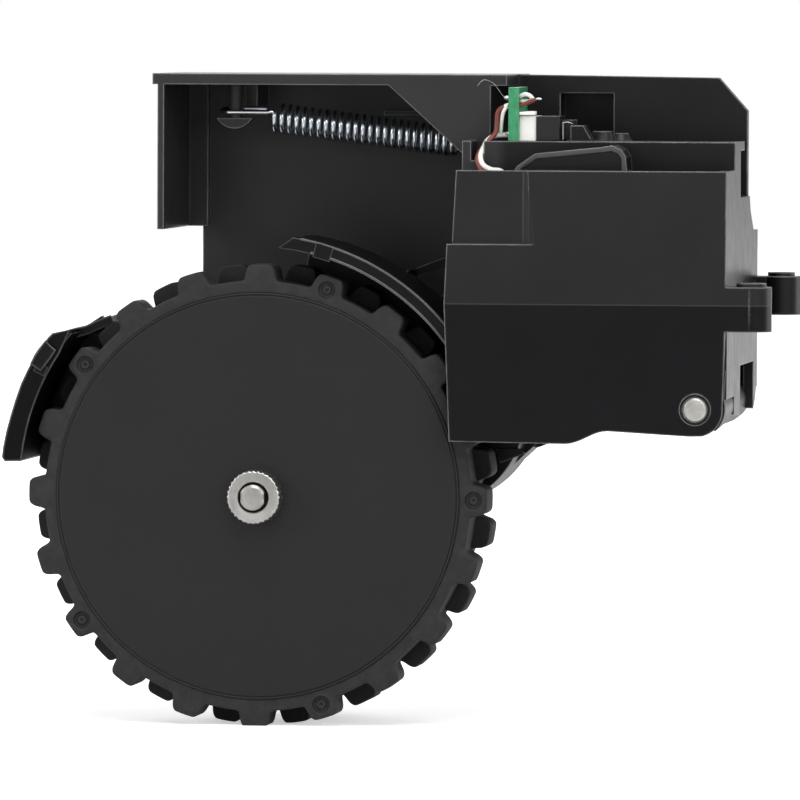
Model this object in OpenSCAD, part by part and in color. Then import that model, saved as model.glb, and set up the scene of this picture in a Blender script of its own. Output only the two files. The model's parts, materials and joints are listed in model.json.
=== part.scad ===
// Drive wheel module of a floor-cleaning robot. A moulded frame carries a swing arm with a geared
// motor, a lugged wheel and the tension spring that pushes the wheel down to the floor.
// +X runs from the wheel towards the pivot, +Y runs away from the wheel's face and +Z is up.
// All places are measured from the pivot axis, with Y = 0 at the front cover's face. The whole
// module is then moved, so that the front screw hole's lower rim is the origin.

/* [Wheel] */
// Diameter over the tread lugs
wheel_d = 70; // [68:0.5:72]
// Width of the tyre
tyre_w = 14; // [12:0.5:14]
// Height of a lug above the tyre's band
lug_h = 2.6; // [1.8:0.1:3]
// Thickness of the tyre's band
band_t = 1.7; // [1.2:0.1:2]
// Lugs in each of the two staggered rows
lug_count = 20; // [16:1:22]
// Diameter of the wheel shaft
shaft_d = 4; // [3:0.1:4.4]
// Diameter over the knurl of the retaining nut
nut_d = 8.3; // [7:0.1:9]
// Thickness of the retaining nut
nut_t = 3.4; // [2.5:0.1:4]

/* [Swing arm] */
// Pivot axis to wheel axis, measured level
arm_reach = 67.7; // [66:0.5:70]
// Height of the pivot above the wheel axis with the wheel fully down
wheel_drop = 14; // [12:0.5:15]
// Angle through which the arm can swing up
arm_lift = 18; // [12:1:18]
// Diameter of the pivot pin
pivot_d = 3.7; // [3:0.1:4]
// Wall thickness of the arm's moulding
arm_wall = 1.6; // [1.2:0.1:1.8]
// Radial gap between the tread and the fender
fender_gap = 1.6; // [1:0.1:2]
// Thickness of the fender
fender_t = 1.9; // [1.4:0.1:2]

/* [Gear train] */
// Module of the output pair
module_out = 0.8; // [0.7:0.01:0.8]
// Module of the middle pair
module_mid = 0.7; // [0.6:0.01:0.7]
// Module of the motor pair
module_in = 0.5; // [0.4:0.01:0.5]
// Teeth of the output gear on the wheel shaft
teeth_out = 55; // [50:1:56]
// Teeth of each large compound gear, slow one first
teeth_large = [34, 44];
// Teeth of each small compound gear, slow one first
teeth_small = [13, 12];
// Teeth of the motor pinion
teeth_pinion = 12; // [10:1:14]
// Play at the pitch circle between two meshing teeth
backlash = 0.14; // [0.1:0.01:0.2]

/* [Motor] */
// Diameter of the motor can
motor_d = 24; // [22:0.5:24]
// Length of the can without its end cap
motor_l = 22.3; // [18:0.1:22.5]

/* [Frame] */
// Wall thickness of the frame
wall = 1.6; // [1.2:0.1:1.8]
// Depth of the front face of the middle wall behind the cover's face
middle_y = 13; // [11:0.5:13.5]
// Depth of the inner face of the back wall behind the cover's face
back_y = 45; // [44:0.5:50]
// Headroom between the lifted tread and the roof
roof_gap = 6.2; // [4:0.1:8]
// Left wall's outer face to the wheel axis
left_reach = 18.1; // [17:0.1:20]
// Pivot axis to the frame's right face
right_reach = 4.6; // [4.5:0.1:5.5]
// Height of the electronics deck above the pivot axis
deck_z = 40.4; // [39:0.1:42]

/* [Front cover] */
// Pivot axis to the cover's left edge
cover_w = 38.5; // [36:0.5:39]
// Height of the cover's top edge above the pivot axis
cover_top = 36.1; // [34:0.1:37]
// Wall thickness of the cover
cover_t = 2; // [1.6:0.1:2.1]
// Height of the moulding's parting line above the pivot axis
parting_z = 15.8; // [14:0.1:17]
// Diameter of the two chassis screw holes
screw_hole_d = 3.2; // [2.8:0.1:3.6]
// Outer diameter of the two chassis screw bosses
boss_d = 6.2; // [5.4:0.1:7]

/* [Spring] */
// Outer diameter of the tension spring
spring_od = 4.6; // [4:0.1:4.8]
// Wire diameter of the spring
spring_wire = 0.72; // [0.6:0.01:0.8]
// Number of coils
spring_turns = 25; // [20:1:28]

/* [Hidden] */
$fn = 96;
EPS = 0.01;
FIT = 0.04;
GAP = 0.3;

BLACK = [0.20, 0.20, 0.205];
DARK = [0.14, 0.14, 0.15];
RUBBER = [0.27, 0.27, 0.27];
STEEL = [0.75, 0.74, 0.72];
ZINC = [0.80, 0.83, 0.86];
NYLON = [0.88, 0.86, 0.80];

// A front-view point [x, z] turned about the pivot as the arm swings up by angle a
function swing(p, a) = [p[0] * cos(a) + p[1] * sin(a), p[1] * cos(a) - p[0] * sin(a)];
// The point at a distance r and an angle a from a front-view point
function polar(p, r, a) = [p[0] + r * cos(a), p[1] + r * sin(a)];
// Points along an arc, in the front view
function arc(p, r, from, to, steps) = [for (i = [0:steps]) polar(p, r, from + (to - from) * i / steps)];
// The direction from one front-view point to another
function heading(a, b) = atan2(b[1] - a[1], b[0] - a[0]);

// Wheel places
tyre_front = 4;
tyre_back = tyre_front + tyre_w;
wheel = [-arm_reach, -wheel_drop];
tread_r = wheel_d / 2;
band_r = tread_r - lug_h;
rim_r = band_r - band_t;
rim_t = 2;
disc_front = tyre_front - 0.2;
dome_h = 0.6;
nut_back = disc_front - dome_h;
nut_front = nut_back - nut_t;
shaft_front = nut_front - 1.1;
hub_boss_r = 5;
hub_back = tyre_back - 0.1;

// Gear centres, each one placed from the gear that it drives
out_r = module_out * teeth_out / 2;
slow_small_r = module_out * teeth_small[0] / 2;
slow_large_r = module_mid * teeth_large[0] / 2;
fast_small_r = module_mid * teeth_small[1] / 2;
fast_large_r = module_in * teeth_large[1] / 2;
pinion_r = module_in * teeth_pinion / 2;
out_heading = 26.9;
mid_heading = 38.5;
in_heading = 41;
slow_axis = polar(wheel, out_r + slow_small_r, out_heading);
fast_axis = polar(slow_axis, slow_large_r + fast_small_r, mid_heading);
motor_axis = polar(fast_axis, fast_large_r + pinion_r, in_heading);
PRESSURE = 20;
ADDENDUM = 0.85;
DEDENDUM = 1.15;

// Depths of the arm and of the gears
arm_front = tyre_back + 3.4;
case_back = arm_front + 17.6;
cap_t = 1.8;
floor_t = 1.8;
out_gear_y = [case_back - 13.2, case_back - 8.8];
slow_small_y = [out_gear_y[0] - 0.4, case_back - 7];
slow_large_y = [case_back - 7, case_back - 4];
fast_small_y = [slow_large_y[0] - 0.3, case_back - 3];
fast_large_y = [case_back - 3, case_back - 0.6];
upper_floor = case_back - 10.2;
upper_in = upper_floor + arm_wall;
tip_gap = 0.8;
out_pocket_r = out_r + module_out + tip_gap;
slow_pocket_r = slow_large_r + module_mid + 0.5;
fast_pocket_r = fast_large_r + module_in + 0.5;
motor_pocket_r = pinion_r + 2;
slow_pin_r = 1.25;
fast_pin_r = 1;
bearing_r = 4.5;
bearing_w = 4;
front_bearing_y = arm_front - 1.2;
rear_bearing_y = case_back - 1.8;
cap_boss_back = rear_bearing_y + bearing_w + 0.2;
shaft_back = cap_boss_back + 1.6;
hub_r = 3.6;
bush_r = 2.6;
bush_flange_t = 0.4;
hub_front = middle_y + wall + bush_flange_t + 0.6;
hub_end = case_back + 1.2;

// Motor depths
motor_r = motor_d / 2;
motor_back = upper_floor;
motor_front = motor_back - motor_l;
motor_screw_places = [for (a = [in_heading, in_heading + 180]) polar(motor_axis, 9.2, a)];
end_cap_t = 2;
motor_shaft_r = 1;
cup_front = middle_y + wall + 1.4;
cup_r = motor_r + arm_wall;

// Fender: an arc left of the wheel and an arc above it, with a gap that clears the frame
fender_in = tread_r + fender_gap;
fender_out = fender_in + fender_t;
fender_axis = [wheel[0] - 0.2, wheel[1] + 1.6];
fender_front = 2.5;
left_arc = [144.4, 174.6];
left_slant = -3.8;
right_arc = [14, 81.2];
right_slant = 3.3;

// Frame outlines
end_wall_t = 1;
window_y = 21.4;
bay_y = tyre_back + 1;
lifted_wheel = swing(wheel, arm_lift);
roof_z = lifted_wheel[1] + tread_r + roof_gap;
roof_t = 1.7;
left_x = wheel[0] - left_reach;
left_foot_z = 26.4;
rear_y = bay_y + 14;
rear_x = -33;
rear_foot_z = 31.8;
skirt_x = [-49.8, -33.9];
skirt_z = roof_z - 10.5;
side_x = right_reach - wall;
deck_y = [middle_y, middle_y + 13.4];
bay_left = -37.5;
deck_t = 1.4;
foot_z = -3.9;
sweep_r = fender_out + 0.9;
motor_sweep_r = motor_r + 0.9;
STEPS = [0:3:arm_lift];

// Chassis screw bosses
front_boss = [right_reach + 3.6, boss_d / 2 + 0.1];
front_boss_z = [11.8, 18.6];
rear_boss = [right_reach + 4, back_y - 0.8];
rear_boss_z = [13.2, 19.2];
ring_h = 0.6;
origin = [front_boss[0], front_boss[1], front_boss_z[0]];

// Spring ends
anchor = [left_x + 10.5, roof_z - 4.95];
horn = [-36.2, roof_z - 10.35];
strut_end = [-49.9, 18.6];
spring_y = 30;
hook_neck_r = 1.1;
hook_r = hook_neck_r + spring_wire / 2 + 0.1;
hook_rise = 0.6;
coil_r = (spring_od - spring_wire) / 2;
hook_len = [4.35, 2.45];

// Electronics on the deck
board_x = [-30.6, -29];
board_y = [15, 25.4];
board_h = 8.2;
header_x = [board_x[1], board_x[1] + 2.6];
switch_x = [header_x[1], -22.8];
switch_y = [15.6, 25.4];
switch_h = 3.8;
lever_axis = [-22.1, deck_z + 2.2];
lever_y = [21.4, 24.6];
lever_t = 0.6;
lever_foot = deck_z - 5;
ramp_x = -21.1;

// An outline in the front view, extruded from depth y0 to depth y1
module slab(y0, y1) {
    translate([0, y1, 0]) rotate([90, 0, 0]) linear_extrude(y1 - y0) children();
}

// A cylinder along Y about a front-view point
module rod(p, r, y0, y1) {
    translate([p[0], y0, p[1]]) rotate([-90, 0, 0]) cylinder(r = r, h = y1 - y0);
}

// A turned piece about a front-view point, from [radius, depth] points
module turned(p, points) {
    translate([p[0], 0, p[1]]) rotate([-90, 0, 0]) rotate_extrude() polygon(points);
}

// A box between two corners
module box(a, b) {
    translate(a) cube(b - a);
}

// The front-view outline that joins two round bosses with straight sides
module web(a, ra, b, rb) {
    turn = heading(a, b);
    inset = 0.97;
    polygon([
        polar(a, ra * inset, turn + 90), polar(b, rb * inset, turn + 90),
        polar(b, rb * inset, turn - 90), polar(a, ra * inset, turn - 90)
    ]);
}

module disc(p, r) {
    translate(p) circle(r);
}

// Tooth form: half the tooth's angle at radius r, from the involute of the base circle
function involute(a) = tan(a) * 180 / PI - a;
function half_tooth(m, teeth, r) =
    let (rp = m * teeth / 2, rb = rp * cos(PRESSURE), play = backlash / 2 / rp * 90 / PI)
    90 / teeth - play + involute(PRESSURE) - (r > rb ? involute(acos(rb / r)) : 0);

// The radii at which a flank gets a point, from its root to its tip
function flank_radii(m, teeth) =
    let (rp = m * teeth / 2, rb = rp * cos(PRESSURE), root = rp - DEDENDUM * m, tip = rp + ADDENDUM * m)
    [root, max(rb, root + 0.02), (max(rb, root) + rp) / 2, rp, (rp + tip) / 2, tip];

// A gear's outline with one tooth centred at angle phase
module gear_outline(p, m, teeth, phase) {
    radii = flank_radii(m, teeth);
    last = len(radii) - 1;
    polygon([for (i = [0:teeth - 1]) let (mid = phase + 360 * i / teeth) each concat(
        [for (k = [0:last]) polar(p, radii[k], mid - half_tooth(m, teeth, radii[k]))],
        [for (k = [last:-1:0]) polar(p, radii[k], mid + half_tooth(m, teeth, radii[k]))]
    )]);
}

// Sweeping a round wire along a list of points, with a frame that doesn't twist
function unit(v) = v / norm(v);
function tangent(p, i) = unit(p[min(i + 1, len(p) - 1)] - p[max(i - 1, 0)]);
function upright(v, t) = unit(v - (v * t) * t);
function normals(p) = [
    for (i = 0, n = upright([0.1, 0.2, 1], tangent(p, 0)); i < len(p);
        i = i + 1, n = upright(n, tangent(p, min(i, len(p) - 1)))) n
];
function ring(c, t, n, r, sides) =
    let (b = cross(t, n)) [for (k = [0:sides - 1]) c + r * (cos(360 * k / sides) * n + sin(360 * k / sides) * b)];

module wire(path, r, sides) {
    n = normals(path);
    last = len(path) - 1;
    points = [for (i = [0:last]) each ring(path[i], tangent(path, i), n[i], r, sides)];
    walls = [for (i = [0:last - 1]) for (k = [0:sides - 1])
        let (a = i * sides + k, b = i * sides + (k + 1) % sides) each
        [[a, a + sides, b], [b, a + sides, b + sides]]];
    first_end = [for (k = [0:sides - 1]) k];
    last_end = [for (k = [sides - 1:-1:0]) last * sides + k];
    polyhedron(points, concat(walls, [first_end, last_end]));
}

// A smooth curve through hand-chosen points
function curve_point(a, b, c, d, t) =
    0.5 * (2 * b + (c - a) * t + (2 * a - 5 * b + 4 * c - d) * t * t + (3 * b - a - 3 * c + d) * t * t * t);
function curve(p, steps) = concat([for (i = [0:len(p) - 2]) for (k = [0:steps - 1])
    curve_point(p[max(i - 1, 0)], p[i], p[i + 1], p[min(i + 2, len(p) - 1)], k / steps)], [p[len(p) - 1]]);

// Chassis frame: roof, walls, electronics deck and the bosses that carry the other pieces
middle_boss_r = 3.3;
back_boss_r = 3.4;
back_outline = concat(
    [[left_x + 3, roof_z], [left_x + 3, 12], [-76, 4], [-44, -2], [-8, foot_z]],
    arc([0, 0], back_boss_r * 0.95, 270, 345, 5),
    [[right_reach, 2], [right_reach, left_foot_z], [-3, left_foot_z], [-3, rear_foot_z + wall],
        [rear_x + wall, rear_foot_z + wall], [rear_x + wall, roof_z]]
);
side_outline = [
    [middle_y, -1.2], [middle_y, deck_z], [middle_y + 8, deck_z], [middle_y + 8, rear_foot_z],
    [rear_y + wall, rear_foot_z], [rear_y + 3, 29.5], [rear_y + 7.6, left_foot_z],
    [back_y + wall, left_foot_z], [back_y + wall, 3], [back_y - 1.2, 0], [back_y - 4, -1.5],
    [middle_y + 4, -1.5]
];
hood_outline = [[-28.4, 36], [-28, 36.6], [-25.3, 38.5], [-15.2, 39.5], [-13.5, 39.8],
    [-12.2, 39.2], [-11.5, 38.2], [-11.3, 36]];
hood_inside = [[-26.4, 34], [-24.7, 37.1], [-14.4, 38.2], [-13, 37.6], [-12.7, 34]];
hood_front = 6;

module roof_and_walls() {
    box([left_x - 0.8, bay_y, roof_z], [rear_x + wall, back_y + wall, roof_z + roof_t]);
    box([left_x, bay_y, left_foot_z], [left_x + end_wall_t, back_y + wall, roof_z + EPS]);
    box([left_x, back_y - 1.4, left_foot_z], [left_x + 4, back_y + wall, roof_z + EPS]);
    slab(back_y, back_y + wall) polygon(back_outline);
    slab(bay_y, bay_y + wall) polygon([
        [skirt_x[0], roof_z + EPS], [skirt_x[1] - 4.3, skirt_z], [skirt_x[1], skirt_z], [skirt_x[1], roof_z + EPS]
    ]);
}

// The wall behind the electronics, stepped forward from the back wall, with a blind pocket
module rear_wall() {
    slab(rear_y, rear_y + wall) polygon([
        [rear_x, rear_foot_z], [rear_x, roof_z + roof_t], [right_reach - 4.7, roof_z + roof_t - 0.4],
        [right_reach - 0.2, roof_z - 3.8], [right_reach - 0.2, rear_foot_z]
    ]);
    box([rear_x, rear_y, rear_foot_z], [rear_x + wall, back_y + wall, roof_z + roof_t]);
    box([rear_x, rear_y, rear_foot_z], [-3 + wall, back_y + wall, rear_foot_z + wall]);
    box([-3, rear_y + wall / 2, left_foot_z - wall], [-3 + wall, back_y + wall, rear_foot_z + wall]);
    box([-3, rear_y + 6, left_foot_z - wall], [right_reach, back_y + wall, left_foot_z]);
    box([-26.4, rear_y + wall / 2, deck_z - 0.8], [-14.9, rear_y + 7, roof_z + 0.3]);
}

module pocket_in_rear_wall() {
    box([-24.8, rear_y - EPS, deck_z + 0.8], [-16.5, rear_y + 5.4, roof_z - 1.2]);
}

module middle_wall() {
    slab(middle_y, middle_y + wall) difference() {
        polygon(concat(
            [[right_reach, 0], [right_reach, deck_z], [bay_left, deck_z], [bay_left, 24], [-29.5, 8], [-29.5, foot_z]],
            arc([0, 0], middle_boss_r * 0.95, 270, 345, 5)
        ));
        for (a = STEPS) disc(swing(fender_axis, a), sweep_r);
        for (a = STEPS) disc(swing(motor_axis, a), motor_sweep_r);
        translate([bay_left + 1.4, deck_z - 3]) square([2, 4]);
    }
}

module electronics_deck() {
    box([bay_left + 3.4, deck_y[0], deck_z - deck_t], [right_reach, deck_y[1], deck_z]);
    box([bay_left, middle_y, deck_z - 6.8], [bay_left + 1.4, bay_y + wall, deck_z]);
    slab(switch_y[0], switch_y[0] + 3.8) polygon([
        [ramp_x, deck_z - EPS], [ramp_x, deck_z + 2.4], [ramp_x + 2, deck_z + 2.4], [ramp_x + 3.4, deck_z - EPS]
    ]);
    translate([ramp_x + 4.2, rear_y - 11, deck_z - EPS]) cylinder(r1 = 2, r2 = 1.5, h = 1.5);
    translate([ramp_x + 6.9, rear_y - 9.5, deck_z - EPS]) cylinder(r1 = 1.9, r2 = 1.2, h = 1.2);
}

// The bulge that makes room for the lifted motor
module hood() {
    difference() {
        slab(hood_front, middle_y + EPS) polygon(hood_outline);
        slab(hood_front + 1.4, middle_y + 1) polygon(hood_inside);
    }
}

// The post under the roof that the spring's front hook goes round
module spring_anchor() {
    foot = anchor[1] - 0.35;
    translate([anchor[0], spring_y, foot - 0.2]) cylinder(r = hook_neck_r, h = roof_z - foot + 0.3);
    slab(spring_y - 1.3, spring_y + 1.3) intersection() {
        disc([anchor[0], foot + 1.6], 3.2);
        translate([anchor[0] - 4, foot - 4]) square([8, 4]);
    }
    box([anchor[0] + 0.9, spring_y + 4, anchor[1] + 1.4], [anchor[0] + 2.8, back_y + EPS, roof_z + EPS]);
    box([skirt_x[0] - 4.2, back_y - 1.2, roof_z - 4.9], [skirt_x[0] + 4.2, back_y + EPS, roof_z - 4.2]);
}

module rear_lug() {
    translate([rear_boss[0], rear_boss[1], rear_boss_z[0]])
        cylinder(d = boss_d, h = rear_boss_z[1] - rear_boss_z[0]);
    translate([rear_boss[0], rear_boss[1], rear_boss_z[1] - EPS]) cylinder(d = boss_d * 0.68, h = ring_h);
    box([side_x, rear_boss[1] - 2.2, rear_boss_z[1] - 3], [rear_boss[0], rear_boss[1] + 2.2, rear_boss_z[1]]);
    box([side_x, rear_boss[1] - 0.8, rear_boss_z[0]], [rear_boss[0], rear_boss[1] + 0.8, rear_boss_z[1] - 1]);
}

cover_screw_places = [[0.5, cover_top - 3.5], [bay_left + 4.5, cover_top - 5.1], [wheel[0] + tread_r + 8.7, -1.6]];

module chassis_frame() color(BLACK) difference() {
    union() {
        roof_and_walls();
        rear_wall();
        middle_wall();
        electronics_deck();
        hood();
        spring_anchor();
        rear_lug();
        translate([side_x, 0, 0]) rotate([90, 0, 90]) linear_extrude(wall) polygon(side_outline);
        rod([0, 0], middle_boss_r, middle_y, middle_y + wall);
        rod([0, 0], back_boss_r, hub_end + bush_flange_t + 1, back_y + wall);
        for (x = [-74, -58, -42]) box([x, back_y + wall - EPS, 8], [x + 1.2, back_y + wall + 1.2, roof_z]);
        box([-80, back_y + wall - EPS, 24], [-34, back_y + wall + 1.2, 25.2]);
    }
    pocket_in_rear_wall();
    rod([0, 0], pivot_d / 2, 0, back_y + 10);
    for (p = cover_screw_places) rod(p, 1.1, 0, middle_y + 4);
    box([side_x - 1, window_y, -5], [right_reach + 1, hub_end + 1, 6]);
    box([side_x - 1, hub_front - 0.8, -5], [hub_r + 0.35, window_y + EPS, 6]);
    box([lever_axis[0] - 0.9, lever_y[0] - 0.4, deck_z - 3], [lever_axis[0] + 1.3, lever_y[1] + 0.4, deck_z + 1]);
    translate([rear_boss[0], rear_boss[1], 0]) cylinder(d = screw_hole_d, h = 40);
}

// Front cover: a drafted shell with a parting line, a right flange and the front screw boss
cover_foot = -5.4;
recess_z = cover_top - 11.2;
recess_x = -cover_w + 12;
recess_t = 1;
ramp_w = 1.8;
DRAFT = 0.55;
function ease(t) = (1 - cos(180 * t)) / 2;
cover_outline = concat(
    [[-cover_w + 1.7, cover_top], [-cover_w + 1.1, recess_z], [-cover_w + 0.4, recess_z], [-cover_w, parting_z],
        [-cover_w + 0.8, cover_foot + 0.2]],
    [for (t = [0:0.125:1]) [-19.9 + 6.5 * t, cover_foot + 2 * ease(t)]],
    [[-1, -4.1]],
    arc([0, 0], 4.2, 285, 350, 6),
    [[right_reach, parting_z], [right_reach, cover_top]]
);

// The cover's section along Y and Z, thickest at the parting line
module drafted(from, to) {
    translate([-cover_w - 2, 0, 0]) rotate([90, 0, 90]) linear_extrude(cover_w + 20) polygon([
        [from + DRAFT, cover_foot - 1], [from, parting_z], [from + DRAFT, cover_top + 1],
        [to, cover_top + 1], [to, cover_foot - 1]
    ]);
}

module cover_shell() {
    intersection() {
        slab(0, cover_t + 0.2) polygon(cover_outline);
        drafted(0, cover_t + 0.2);
    }
    slab(cover_t, middle_y - 0.2) polygon([
        [side_x, 0.6], [right_reach, 1.6], [right_reach, cover_top], [side_x, cover_top]
    ]);
    for (p = cover_screw_places) rod(p, 2.1, cover_t - 0.2, middle_y);
}

module front_lug() {
    translate([front_boss[0], front_boss[1], front_boss_z[0]])
        cylinder(d = boss_d, h = front_boss_z[1] - front_boss_z[0]);
    translate([front_boss[0], front_boss[1], front_boss_z[1] - EPS]) cylinder(d = boss_d * 0.74, h = ring_h);
    intersection() {
        box([side_x, 0, front_boss_z[0]], [front_boss[0], boss_d + 0.1, front_boss_z[1]]);
        drafted(0, boss_d + 0.1);
    }
}

module front_cover() color(BLACK) difference() {
    union() {
        cover_shell();
        front_lug();
        rod([0, 0], 2.45, -0.1, 1);
    }
    translate([0, 0, recess_z]) linear_extrude(cover_top) polygon([
        [-cover_w - 1, -1], [recess_x + ramp_w, -1], [recess_x + ramp_w, 0.25], [recess_x + ramp_w * 0.5, 0.45],
        [recess_x, recess_t], [-cover_w - 1, recess_t]
    ]);
    rod([0, 0], pivot_d / 2, -1, cover_t + 5);
    for (p = cover_screw_places) rod(p, 0.85, cover_t, middle_y + 1);
    translate([front_boss[0], front_boss[1], 0]) cylinder(d = screw_hole_d, h = 40);
}

module pivot_pin() color(STEEL) {
    turned([0, 0], [[0, -0.3], [pivot_d / 2 - 0.3, -0.3], [pivot_d / 2, 0], [pivot_d / 2, back_y + wall],
        [0, back_y + wall]]);
}

// A pan-head screw whose head faces the back
module rear_screw(p, r, tip, seat, head_r, head_t) {
    difference() {
        union() {
            rod(p, r, tip, seat + EPS);
            turned(p, [[0, seat], [head_r, seat], [head_r, seat + head_t * 0.5], [head_r * 0.7, seat + head_t],
                [0, seat + head_t]]);
        }
        for (a = [0, 90]) translate([p[0], seat + head_t, p[1]]) rotate([0, a, 0])
            cube([head_r * 1.1, head_t, head_r * 0.28], center = true);
    }
}

module cover_screws() color(STEEL) {
    for (p = cover_screw_places) rear_screw(p, 0.85, middle_y - 6, middle_y + wall, 2, 1.2);
}

// Electronics
module circuit_board() color("seagreen") {
    box([board_x[0], board_y[0], deck_z], [board_x[1], board_y[1], deck_z + board_h]);
}

module board_header() color(NYLON) difference() {
    box([header_x[0], board_y[0] + 1, deck_z], [header_x[1], board_y[1] - 1, deck_z + 3.8]);
    box([header_x[0] + 0.7, board_y[0] + 1.7, deck_z + 1], [header_x[1] - 0.6, board_y[1] - 1.7, deck_z + 5]);
}

module drop_switch() color(DARK) {
    box([switch_x[0], switch_y[0], deck_z], [switch_x[1], switch_y[1], deck_z + switch_h]);
    for (y = [lever_y[0] - 0.9, lever_y[1] + 0.2])
        box([switch_x[1] - EPS, y, deck_z + 0.2], [lever_axis[0] + 0.9, y + 0.7, deck_z + 3.2]);
}

module switch_lever() color(STEEL) {
    box([lever_axis[0] - lever_t / 2, lever_y[0], lever_foot], [lever_axis[0] + lever_t / 2, lever_y[1], deck_z + 2.8]);
    rod(lever_axis, 0.5, lever_y[0], lever_y[1]);
}

// Return spring: a hook round the roof's post, close coils and a hook round the arm's horn
spring_dir = unit([horn[0] - anchor[0], 0, horn[1] - anchor[1]]);
spring_up = cross(spring_dir, [0, 1, 0]);
spring_len = norm(horn - anchor);
coil_from = hook_r + hook_len[0];
coil_len = spring_len - coil_from - hook_r - hook_len[1];
COIL_STEPS = 12;
function spring_point(s, v, w) = [anchor[0], spring_y, anchor[1]] + s * spring_dir + v * [0, 1, 0] + w * spring_up;
spring_path = concat(
    [for (a = [40:20:320]) spring_point(hook_r * cos(a), hook_r * sin(a), hook_rise)],
    [spring_point(coil_from - 1.4, -0.5, hook_rise), spring_point(coil_from - 0.6, -0.9, 0.4)],
    [for (i = [0:spring_turns * COIL_STEPS]) let (a = 180 + 360 * i / COIL_STEPS)
        spring_point(coil_from + coil_len * i / (spring_turns * COIL_STEPS), coil_r * cos(a), coil_r * sin(a))],
    [spring_point(spring_len - hook_r - 0.8, -1.3, 0)],
    [for (a = [220:-20:-60]) spring_point(spring_len + hook_r * cos(a), hook_r * sin(a), 0)]
);

module return_spring() color(ZINC) wire(spring_path, spring_wire / 2, 6);

// Motor leads: from the board's solder joints down behind the cover to the motor's terminals
terminal_places = [polar(motor_axis, 7, 145), polar(motor_axis, 7, 35)];
terminal_front = motor_front - end_cap_t - 1.4;
white_route = [[board_x[0] - 0.45, 17.5, 41.4], [-32.2, 17.2, 41.5], [-34.4, 15.6, 41.3], [-35.1, 13, 40.2],
    [-34.9, 10, 38.2], [-33.2, 7.5, 36.8], [-30.6, 6.2, 34.6], [-29.6, 5.2, 31], [-29.6, 4, 27],
    [-28.4, 3.4, 24], [terminal_places[0][0] - 0.6, terminal_front - 0.1, terminal_places[0][1] + 1.2]];
red_route = [[board_x[0] - 0.45, 16.4, 45.6], [-31.9, 16.2, 45.2], [-32.8, 16, 43.6], [-34, 15, 42.2],
    [-35.8, 12.6, 40.8], [-36, 9, 38], [-34.8, 6, 36], [-30, 4.6, 35.6], [-24, 3.4, 33.6], [-18, 3.2, 29.6],
    [terminal_places[1][0] - 0.4, terminal_front - 0.1, terminal_places[1][1] + 1.4]];

module motor_lead_white() color("ivory") wire(curve(white_route, 3), 0.4, 8);
module motor_lead_red() color("brown") wire(curve(red_route, 3), 0.38, 8);

// Swing arm: the gearbox's front shell, the fender, the motor cup, the pivot hub and the horn
module deep_outline(extra) {
    disc(wheel, out_pocket_r + extra);
    web(wheel, out_pocket_r + extra, slow_axis, slow_pocket_r + extra);
    disc(slow_axis, slow_pocket_r + extra);
}

module upper_outline(extra) {
    web(slow_axis, slow_pocket_r + extra, fast_axis, fast_pocket_r + extra);
    disc(fast_axis, fast_pocket_r + extra);
    web(fast_axis, fast_pocket_r + extra, motor_axis, motor_pocket_r + extra);
    disc(motor_axis, motor_pocket_r + extra);
}

// The path that the foot of the frame's left wall takes through the lifted arm, as an outline
module wall_path() {
    clear = 0.45;
    inner = [left_x + end_wall_t + clear, left_foot_z - clear];
    outer = [left_x - clear, left_foot_z - clear];
    top = [left_x - clear, left_foot_z + 30];
    polygon(concat(
        [for (a = [0:3:arm_lift]) swing(inner, -a)],
        [swing(outer, -arm_lift), swing(top, -arm_lift), [left_x + end_wall_t, left_foot_z + 30]]
    ));
}

module ring_sector(p, r0, r1, from, to, in_from, in_to) {
    polygon(concat(arc(p, r1, from, to, 16), arc(p, r0, in_to, in_from, 16)));
}

module fender() {
    back = arm_front + floor_t;
    root_r = fender_in * 0.5;
    slab(fender_front, back) ring_sector(
        fender_axis, fender_in, fender_out, left_arc[0], left_arc[1], left_arc[0] + left_slant, left_arc[1]);
    slab(fender_front, back) ring_sector(
        fender_axis, fender_in, fender_out, right_arc[0], right_arc[1], right_arc[0], right_arc[1] + right_slant);
    slab(arm_front, back) ring_sector(
        fender_axis, root_r, fender_in + 0.5, left_arc[0], left_arc[1], left_arc[0] - 14, left_arc[1]);
    slab(arm_front, back) polygon([
        polar(fender_axis, fender_out, left_arc[0]), polar(fender_axis, fender_out - 2, left_arc[0] - 11),
        polar(fender_axis, fender_out - 3, left_arc[0] - 18), polar(fender_axis, root_r, left_arc[0])
    ]);
    slab(arm_front, back) ring_sector(
        fender_axis, root_r, fender_in + 0.5, right_arc[0], right_arc[1], right_arc[0], right_arc[1]);
    slab(fender_front - 0.25, fender_front + 2) ring_sector(
        fender_axis, fender_in - 0.4, fender_out - EPS, 71.6, 75.8, 71.6, 75.8);
    slab(fender_front - 0.25, fender_front + 2) ring_sector(
        fender_axis, fender_in + EPS, fender_out - EPS, 150.8, 153.2, 150.8, 153.2);
}

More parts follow.
